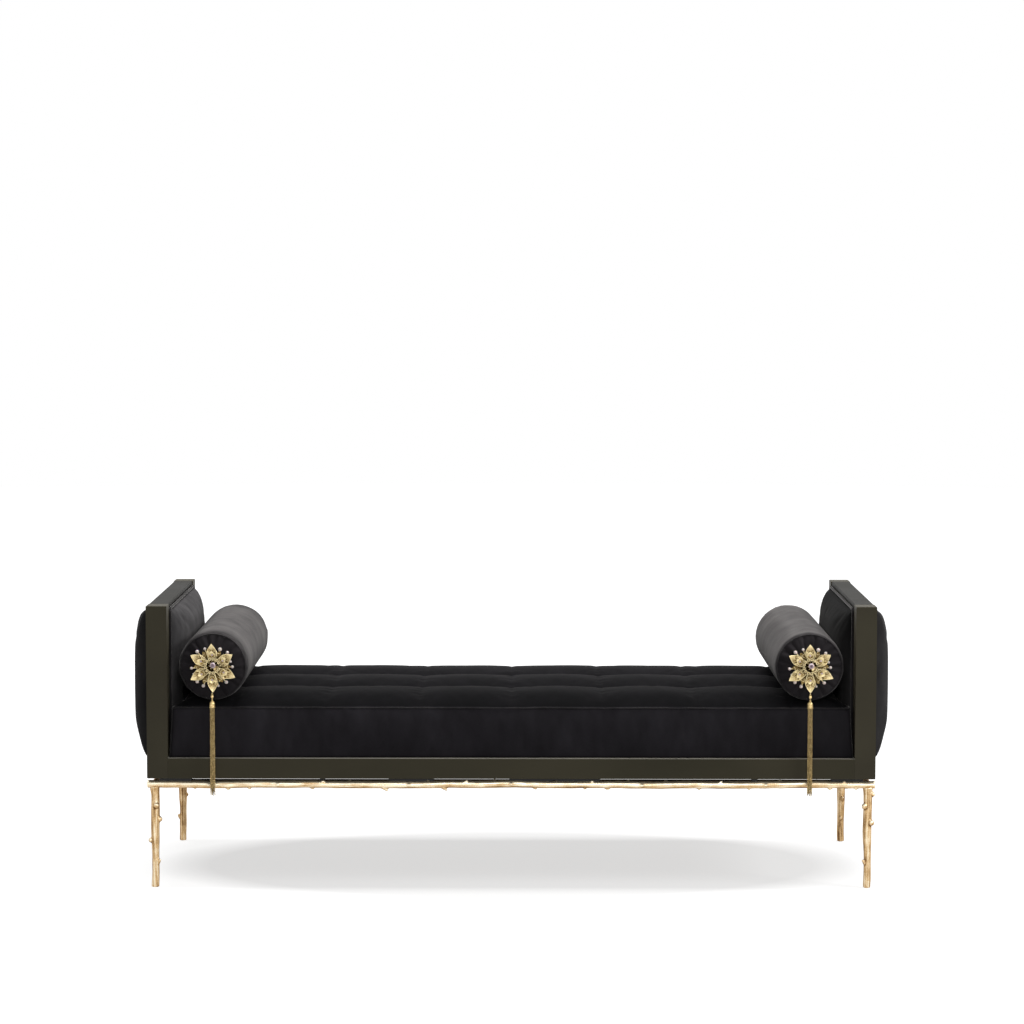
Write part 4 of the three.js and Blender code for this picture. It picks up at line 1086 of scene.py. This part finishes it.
def make_leaf(root, tip, half_width, shares, heights, cup, ribs, rings):
    """One leaf along X, in mm. shares give its half width, heights how far it stands out."""
    def surface(u, v):
        width = half_width * np.interp(u, shares[0], shares[1])
        wave = 0.35 * math.sin(21 * u + 2 * v) * abs(v)
        rise = np.interp(u, heights[0], heights[1]) + cup * v * v * np.interp(u, (0, 0.5, 1), (0.3, 1, 0.1))
        crease = -0.7 * math.exp(-(v / 0.16) ** 2) * (1 - u)
        return Vector((root + (tip - root) * u, width * v, rise + wave + crease)) * MM
    bm = bmesh.new()
    grid = [[bm.verts.new(surface(u, v)) for v in np.linspace(-1, 1, 9)] for u in np.linspace(0, 1, 15)]
    for near, far in zip(grid, grid[1:]):
        for n in range(8):
            bm.faces.new((near[n], far[n], far[n + 1], near[n + 1]))
    bmesh.ops.solidify(bm, geom=bm.faces[:], thickness=0.5 * MM)
    # Painted shade: the leaf is dark at its root, towards the middle of the flower, and pale at its tip.
    paint(bm, 0, lambda co: 0.04 + 0.8 * min(1, max(0, (co.x / MM - root) / (tip - root))) ** 1.6)
    first = len(bm.verts)
    steps = np.linspace(0, 1, 14)
    rim = [surface(u, 1) for u in steps] + [surface(u, -1) for u in steps[::-1][1:]]
    add_rod(bm, rim, [0.65 * MM] * len(rim), sides=6)
    add_rod(bm, [surface(u, 0) + Vector((0, 0, 0.4 * MM)) for u in steps[:-1]], [0.5 * MM] * 13, sides=4)
    for u in ribs:
        for sign in (-1, 1):
            line = [surface(u + 0.17 * t, sign * t * 0.94) + Vector((0, 0, 0.35 * MM))
                    for t in (0, 0.35, 0.7, 1)]
            add_rod(bm, line, [0.42 * MM] * 4, sides=4)
    paint(bm, first, 0.85)
    first = len(bm.verts)
    for u, v, size in rings:
        add_ring(bm, surface(u, v) + Vector((0, 0, 0.7 * MM)), size * MM, 0.45 * MM, steps=10, sides=4)
    paint(bm, first, 1)
    return to_mesh(bm, "leaf")


broad = make_leaf(13, 60, 12.6, ((0, 0.2, 0.4, 0.56, 0.78, 1), (0.34, 0.6, 0.93, 1, 0.6, 0.02)),
                  ((0, 0.4, 0.75, 1), (4.2, 7, 8.4, 11.5)), 2.6, (0.12, 0.3, 0.48, 0.64),
                  ((0.78, 0, 2.4), (0.6, 0.48, 1.7), (0.6, -0.48, 1.7), (0.42, 0.5, 1.4), (0.42, -0.5, 1.4)))
small = make_leaf(9, 41, 8.6, ((0, 0.25, 0.5, 0.75, 0.92, 1), (0.5, 0.8, 1, 0.85, 0.4, 0.05)),
                  ((0, 0.4, 0.8, 1), (8.2, 10.6, 11.4, 13.2)), 2.4, (0.2, 0.42, 0.62),
                  ((0.7, 0, 2.3), (0.45, 0.5, 1.2), (0.45, -0.5, 1.2)))
slim = make_leaf(14, 43, 3.1, ((0, 0.3, 0.6, 0.85, 1), (0.5, 0.9, 1, 0.6, 0.06)),
                 ((0, 0.5, 1), (5.5, 8.6, 10.2)), 1.2, (0.3, 0.55), ())
print("faces in a leaf:", [len(mesh.polygons) for mesh in (broad, small, slim)])

# %% [markdown]
# The copies are turned into place, each a little longer or shorter as the photograph shows, and
# joined in one object per part. The flower sits on the end of the bolster, so it rides that body.

# %% Brooches
def add_leaves(bm, chance):
    for angle, reach in petal_tips:
        turn = Matrix.Rotation(math.radians(angle), 4, "Z")
        tilt = Matrix.Rotation(math.radians(chance.uniform(-5, 5)), 4, "X")
        add_copy(bm, broad, turn @ Matrix.Diagonal((reach / 60, 1, 1, 1)) @ tilt)
        lean = Matrix.Rotation(math.radians(angle + chance.uniform(-4, 4)), 4, "Z")
        add_copy(bm, small, lean @ Matrix.Diagonal((1, 1, chance.uniform(0.92, 1.03), 1)))
        between = Matrix.Rotation(math.radians(angle + 30 + chance.uniform(-4, 4)), 4, "Z")
        # The leaves between lie under the others and are painted in shade.
        first = len(bm.verts)
        add_copy(bm, small, between @ Matrix.Diagonal((1.1, 0.8, chance.uniform(0.6, 0.68), 1)))
        paint_shade(bm, first, 0.5)
    for n in range(12):
        angle = 30 * n + 15 + chance.uniform(-3, 3)
        add_copy(bm, slim, Matrix.Rotation(math.radians(angle), 4, "Z"))
    first = len(bm.verts)
    for n in range(6):
        turn = math.radians(60 * n + 60 + chance.uniform(-6, 6))
        start, out = Vector((math.cos(turn), math.sin(turn), 0)), Vector((-math.sin(turn), math.cos(turn), 0))
        curl = [start * (30 + 13 * t + 2.5 * math.sin(5 * t)) + out * (5 * math.sin(4.4 * t))
                + Vector((0, 0, 8 + 3 * t)) for t in np.linspace(0, 1, 12)]
        add_rod(bm, [p * MM for p in curl], [0.55 * MM] * 12, sides=6)
    add_ring(bm, Vector((0, -64.85, 13.05)) * MM, 2.1 * MM, 0.6 * MM, axis="X", steps=14)
    paint(bm, first, 0.9)


def add_pearl_stems(bm):
    for angle, reach, size in pearl_spots:
        turn = math.radians(angle)
        out = Vector((math.cos(turn), math.sin(turn), 0))
        line = [(out * r + Vector((0, 0, z))) * MM for r, z in ((18, 4.5), (34, 5.2), (reach - size * 0.8, 6.2))]
        add_rod(bm, line, [0.8 * MM, 0.8 * MM, 1.2 * MM], sides=6)
    add_ring(bm, Vector((0, 0, 4.2)) * MM, 20 * MM, 0.9 * MM, steps=36)
    paint(bm, 0, 0.7)


def add_pearls(bm):
    for angle, reach, size in pearl_spots:
        turn = math.radians(angle)
        spot = Vector((reach * math.cos(turn), reach * math.sin(turn), 6.2)) * MM
        bmesh.ops.create_uvsphere(bm, u_segments=20, v_segments=12, radius=size * 0.95 * MM,
                                  matrix=Matrix.Translation(spot))


def add_cup(bm):
    """The bowl round the crystal, with twelve little rings standing on its rim."""
    add_turned(bm, [(r * MM, z * MM) for r, z in (
        (0, 8.5), (11, 8.6), (13.4, 10), (14.8, 12.6), (15.6, 14.6), (16.6, 14.8), (16.2, 12.4),
        (14.6, 9.2), (12, 7.4), (0, 7.2))], 36)
    bmesh.ops.remove_doubles(bm, verts=bm.verts, dist=1e-6)
    # Painted shade: the bowl is dark inside and pale only near its rim.
    paint(bm, 0, lambda co: 0.75 * float(smoothstep(12.5, 15.5, co.z / MM)))
    first = len(bm.verts)
    for n in range(13):
        turn = 2 * math.pi * n / 13
        spot = Vector((17.6 * math.cos(turn), 17.6 * math.sin(turn), 15)) * MM
        add_ring(bm, spot, 2.8 * MM, 0.8 * MM, steps=12)
    for n in range(6):
        turn = 2 * math.pi * n / 6
        foot = Vector((9.5 * math.cos(turn), 9.5 * math.sin(turn), 9)) * MM
        head = Vector((6.8 * math.cos(turn), 6.8 * math.sin(turn), 17.8)) * MM
        add_rod(bm, [foot, (foot + head) / 2 + foot * 0.04, head], [0.8 * MM] * 3, sides=6)
    paint(bm, first, 0.95)


def add_small_crystals(bm, chance):
    for angle, reach, size, height in [(angle, 31.5, 2.4, 12.4) for angle, _ in petal_tips]:
        turn = math.radians(angle + chance.uniform(-2, 2))
        place = Matrix.Translation(Vector((reach * math.cos(turn), reach * math.sin(turn), height)) * MM)
        shape = Matrix.Rotation(turn, 4, "Z") @ Matrix.Diagonal((1.35, 1, 0.7, 1))
        bmesh.ops.create_icosphere(bm, subdivisions=1, radius=size * MM, matrix=place @ shape)
    # Painted shade: each small crystal is painted dark low down and pale on top.
    paint(bm, 0, lambda co: float(smoothstep(10, 15, co.z / MM)))


def add_centre_stone(bm):
    add_turned(bm, [(r * MM, z * MM) for r, z in (
        (0, 12.8), (4.6, 14), (7.3, 15.6), (7.4, 16.4), (5.6, 18.5), (4.2, 19.3), (0, 19.5))], 12)
    bmesh.ops.remove_doubles(bm, verts=bm.verts, dist=1e-6)
    # Painted reflection: the stone is painted dark in the middle and pale towards its rim.
    paint(bm, 0, lambda co: float(smoothstep(3.4, 6, math.hypot(co.x, co.y) / MM)))


def make_brooch(word, seed):
    chance = random.Random(seed)
    middle = bolster_middle[word]
    upright = Matrix.Rotation(math.pi / 2, 4, "X")
    place = Matrix.Translation((middle.x, brooch_plane, middle.z)) @ upright
    raised = place @ Matrix.Translation((0.9 * MM, 4.2 * MM, 0))
    stone = place @ Matrix.Translation((1.8 * MM, 5.6 * MM, 0))
    parts = [
        ("leaves", add_leaves, chance, pale_gold, "pale_gold", ["petals", "inner_petals"], place),
        ("pearl_stems", add_pearl_stems, None, pale_gold, "pale_gold", [], place),
        ("blush_pearls", add_pearls, None, blush_pearl, "pearl", ["pearls"], place),
        ("ring_cup", add_cup, None, pale_gold, "pale_gold", ["stone_setting"], raised),
        ("small_crystals", add_small_crystals, chance, pink_crystal, "crystal", [], place),
        ("centre_crystal", add_centre_stone, None, pink_crystal, "crystal", ["stone"], stone),
    ]
    for part, fill_in, luck, finish, kind, nodes, where in parts:
        bm = bmesh.new()
        fill_in(bm, luck) if luck else fill_in(bm)
        bmesh.ops.recalc_face_normals(bm, faces=bm.faces)
        bmesh.ops.transform(bm, matrix=where, verts=bm.verts)
        add_piece(f"{word}_brooch_{part}", bm, finish, f"{word}_bolster",
                  [f"{word}_brooch_{node}" for node in nodes], smooth="crystal" not in part)


for word, seed in (("left", 21), ("right", 34)):
    make_brooch(word, seed)
    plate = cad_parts[f"{word}_brooch_back_plate"]
    plate.data.materials.clear()
    plate.data.materials.append(old_gold)

# %% [markdown]
# The tassel hangs from the flower in parts that can swing: a beaded link, whose ring turns in the
# lowest leaf's loop, then a bell cap with its chains. Bead and cap are turned on a lathe, with rows of
# tiny balls set round their rims. Two dozen chains fill the bell. One chain link is a small wire loop,
# and a chain repeats it with a quarter turn each time, so the loops are kept to eighteen faces.

# %% Tassels
tassel_y = -332.525 * MM
chain_top, chain_foot = 462 * MM, 238 * MM
LINK_PITCH = 2.9 * MM


def add_beads(bm, radius, height, size, count):
    for n in range(count):
        turn = 2 * math.pi * n / count
        spot = Vector((radius * math.cos(turn), radius * math.sin(turn), height)) * MM
        bmesh.ops.create_icosphere(bm, subdivisions=1, radius=size * MM, matrix=Matrix.Translation(spot))


def link_parts(bm):
    add_ring(bm, (0, 0, 495.3 * MM), 1.9 * MM, 0.55 * MM, axis="Y", steps=16)
    profile = [(0, 494.4), (1.2, 494.3), (1.6, 493.9), (1.2, 493.4), (2.6, 492.9), (3.7, 491.4),
               (4, 489.6), (3.6, 487.8), (2.5, 486.4), (1.3, 485.9), (1.7, 485.2), (1.2, 484.6), (0, 484.5)]
    add_turned(bm, [(r * MM, z * MM) for r, z in profile], 24)
    add_beads(bm, 2.3, 493.1, 0.5, 12)
    add_beads(bm, 2.2, 486.2, 0.5, 12)
    add_ring(bm, (0, 0, 482.9 * MM), 1.5 * MM, 0.5 * MM, axis="X", steps=14)


def cap_parts(bm):
    add_ring(bm, (0, 0, 482 * MM), 1.5 * MM, 0.5 * MM, axis="Y", steps=14)
    profile = [(0, 480.8), (1.6, 480.6), (2.3, 479.8), (1.8, 479), (3.2, 478.2), (5, 476.3), (6.3, 473.8),
               (6.9, 470.5), (7.1, 466.8), (6.7, 466.1), (7.1, 465.4), (7.3, 463.4), (6.8, 462.7),
               (7.5, 462.1), (7.4, 461.4), (6.6, 461.3), (6.2, 463), (0, 463.6)]
    add_turned(bm, [(r * MM, z * MM) for r, z in profile], 48)
    for vert in bm.verts:
        if 466.9 * MM < vert.co.z < 478 * MM:
            flute = 1 - 0.045 * math.cos(12 * math.atan2(vert.co.y, vert.co.x))
            vert.co.x, vert.co.y = vert.co.x * flute, vert.co.y * flute
    add_beads(bm, 2.5, 479.1, 0.5, 12)
    add_beads(bm, 7.1, 466, 0.55, 26)
    add_beads(bm, 7.4, 461.9, 0.55, 28)


def chain_bundle(seed):
    """Points and faces of all the chains, made by repeating one small loop."""
    chance = random.Random(seed)
    around = np.arange(6) * math.pi / 3
    loop, faces = [], []
    for n, turn in enumerate(around):
        for side in range(3):
            tube = 2 * math.pi * side / 3
            reach = 0.85 + 0.42 * math.cos(tube)
            loop.append((reach * math.cos(turn), 0.42 * math.sin(tube), 2.05 * reach * math.sin(turn)))
            corner = [(n, side), (n, (side + 1) % 3), ((n + 1) % 6, (side + 1) % 3), ((n + 1) % 6, side)]
            faces.append([a * 3 + b for a, b in corner])
    loop, faces = np.array(loop) * MM, np.array(faces)
    turned = loop[:, [1, 0, 2]] * (1, -1, 1)
    points, all_faces, levels = [], [], []
    spots = [(0, 0)] + [(2.6, 60 * n + 20) for n in range(6)] + [(5.4, 360 / 17 * n) for n in range(17)]
    for reach, angle in spots:
        turn = math.radians(angle + chance.uniform(-5, 5))
        reach *= MM * chance.uniform(0.94, 1.02)
        foot = chain_foot + abs(chance.gauss(0, 7)) * MM
        count = int((chain_top - foot) / LINK_PITCH)
        bow, twist = chance.uniform(-0.7, 0.9) * MM, chance.uniform(0, 6)
        for n in range(count):
            t = n / count
            out = reach * (0.92 + 0.12 * t - 0.05 * math.sin(3 * t)) + bow * math.sin(math.pi * t)
            lean = turn + 0.06 * math.sin(5 * t + twist)
            centre = (out * math.cos(lean), out * math.sin(lean), chain_top - (n + 0.6) * LINK_PITCH)
            all_faces.append(faces + len(points) * len(loop))
            points.append((loop if n % 2 else turned) + centre)
            # Painted shade: the inner chains are painted darker than the outer ones, with a random tone on each
            # link.
            levels += [0.25 + 0.35 * reach / (5.4 * MM) + chance.uniform(-0.14, 0.14)] * len(loop)
    return np.concatenate(points), np.concatenate(all_faces), levels


def make_tassel(word, seed):
    centre = Vector((bolster_middle[word].x, tassel_y, 0))
    for part, fill_in, body, node in (("beaded_link", link_parts, "link", "tassel_link"),
                                      ("bell_cap", cap_parts, "tassel", "tassel_cap")):
        bm = bmesh.new()
        fill_in(bm)
        bmesh.ops.remove_doubles(bm, verts=bm.verts, dist=1e-6)
        bmesh.ops.recalc_face_normals(bm, faces=bm.faces)
        bmesh.ops.translate(bm, verts=bm.verts, vec=centre)
        piece = add_piece(f"{word}_{part}", bm, old_gold, f"{word}_{body}", [f"{word}_{node}"])
        mark_relief(piece.data, 0.6)
    points, faces, levels = chain_bundle(seed)
    mesh = bpy.data.meshes.new("links")
    mesh.from_pydata((points + np.array(centre)).tolist(), [], faces.tolist())
    mesh.attributes.new("patina_and_painted_light", "FLOAT", "POINT").data.foreach_set("value", np.array(levels, np.float32))
    bm = bmesh.new()
    bm.from_mesh(mesh)
    bmesh.ops.recalc_face_normals(bm, faces=bm.faces)
    add_piece(f"{word}_chain_bundle", bm, old_gold, f"{word}_tassel", [f"{word}_tassel_chains"])


for word, seed in (("left", 5), ("right", 8)):
    make_tassel(word, seed)

# %% [markdown]
# The photograph is a studio cut-out: a white ground that keeps a soft shadow. The floor is a pale
# disc. Camera, mirror and glass rays see it as plain white wherever no shadow falls, through a
# little added emission that grows outside an oval round the bench, where the photograph's ground
# turns white. Other rays meet an ordinary matt floor.

# %% Floor
def white_for_seen_rays(tree):
    """1 on camera, glossy and transmission rays, and 0 on the others."""
    path = tree.nodes.new("ShaderNodeLightPath")
    rays = [path.outputs[name] for name in ("Is Camera Ray", "Is Glossy Ray", "Is Transmission Ray")]
    both = add_node(tree, "Math", {0: rays[0], 1: rays[1]}, operation="MAXIMUM")
    return add_node(tree, "Math", {0: both, 1: rays[2]}, operation="MAXIMUM")


def pale_floor():
    bm = bmesh.new()
    bmesh.ops.create_circle(bm, cap_ends=True, segments=96, radius=14)
    mesh = bpy.data.meshes.new("floor")
    bm.to_mesh(mesh)
    bm.free()
    floor = bpy.data.objects.new("floor", mesh)
    scene.collection.objects.link(floor)
    material = bpy.data.materials.new("pale_floor")
    material.use_nodes = True
    tree = material.node_tree
    tree.nodes.remove(tree.nodes["Principled BSDF"])
    matt = add_node(tree, "BsdfDiffuse", {"Color": (FLOOR_WHITE, FLOOR_WHITE, FLOOR_WHITE, 1)})
    where = tree.nodes.new("ShaderNodeTexCoord").outputs["Object"]
    oval = add_node(tree, "Mapping", {"Vector": where, "Scale": (1, 1.9, 1)})
    reach = tree.nodes.new("ShaderNodeVectorMath")
    reach.operation = "LENGTH"
    tree.links.new(oval, reach.inputs[0])
    # Painted shadow: the glow is weaker inside the oval, so the shadow shows only there and the glow whitens the
    # floor past the oval's edge.
    near = add_node(tree, "MapRange", {0: reach.outputs["Value"], 1: 0.79, 2: 0.95, 3: FLOOR_LIFT, 4: 0.86})
    far = add_node(tree, "MapRange", {0: reach.outputs["Value"], 1: 1.0, 2: 4.0, 3: 0.0, 4: 0.16})
    rise = add_node(tree, "Math", {0: near, 1: far}, operation="ADD")
    lift = add_node(tree, "Math", {0: white_for_seen_rays(tree), 1: rise}, operation="MULTIPLY")
    glow = add_node(tree, "Emission", {"Color": (1, 1, 1, 1), "Strength": lift})
    both = add_node(tree, "AddShader", {0: matt, 1: glow})
    tree.links.new(both, tree.nodes["Material Output"].inputs["Surface"])
    mesh.materials.append(material)
    return floor


FLOOR_WHITE = 0.32
FLOOR_LIFT = 0.64
floor = pale_floor()
print("floor radius in m:", floor.dimensions.x / 2)

# %% [markdown]
# A long soft box hangs high over the bench, because the shadow in the photograph lies straight under
# the base. Weaker ones stand on the right, where the bolsters are brighter, and in front, for the
# branches under the overhanging frame. The world fills in from all sides. Seen directly, or in the
# metal, it is white at strength one.

# %% Lights
def area_light(name, place, aim, size, depth, power):
    data = bpy.data.lights.new(name, "AREA")
    data.shape, data.size, data.size_y, data.energy = "RECTANGLE", size, depth, power
    lamp = bpy.data.objects.new(name, data)
    scene.collection.objects.link(lamp)
    lamp.location = place
    lamp.rotation_euler = (Vector(aim) - Vector(place)).to_track_quat("-Z", "Y").to_euler()
    return lamp


def white_world(fill_strength):
    world = bpy.data.worlds.new("white")
    world.use_nodes = True
    tree = world.node_tree
    sky = tree.nodes["Background"]
    seen_ray = white_for_seen_rays(tree)
    strength = add_node(tree, "MapRange", {0: seen_ray, 3: fill_strength, 4: 1.0})
    fill(tree, sky, {"Color": (1, 1, 1, 1), "Strength": strength})
    scene.world = world


area_light("overhead_box", (0.05, 0.1, 9), (0, 0.1, 0.3), 2.2, 6.0, 600)
area_light("right_window", (4.6, -1.8, 3.2), (0, 0, 0.5), 1.6, 1.6, 130)
area_light("front_box", (0.6, -6.2, 2.4), (0, 0, 0.3), 3.0, 1.2, 60)
white_world(0.22)

# %% [markdown]
# The camera was solved from the photograph: the corners of the frame and the feet give ten points
# whose places on the bench are known, and least squares finds the lens and the stand that fit them.

# %% Camera
def photo_camera(place, lens, pitch, yaw, roll):
    data = bpy.data.cameras.new("photo_camera")
    data.sensor_width, data.lens = 36, lens
    camera = bpy.data.objects.new("photo_camera", data)
    scene.collection.objects.link(camera)
    ahead = Vector((math.sin(yaw) * math.cos(pitch), math.cos(yaw) * math.cos(pitch), -math.sin(pitch)))
    right = Vector((math.cos(yaw), -math.sin(yaw), 0))
    up = right.cross(ahead)
    across = right * math.cos(roll) + up * math.sin(roll)
    upward = up * math.cos(roll) - right * math.sin(roll)
    turn = Matrix((across, upward, -ahead)).transposed()
    camera.matrix_world = Matrix.Translation(place) @ turn.to_4x4()
    return camera


scene.camera = photo_camera((0.02016, -7.701885, 1.55118), 104.40, 0.08084, -0.00252, 0.00095)
scene.view_settings.view_transform = "Standard"
print("camera lens in mm:", scene.camera.data.lens)
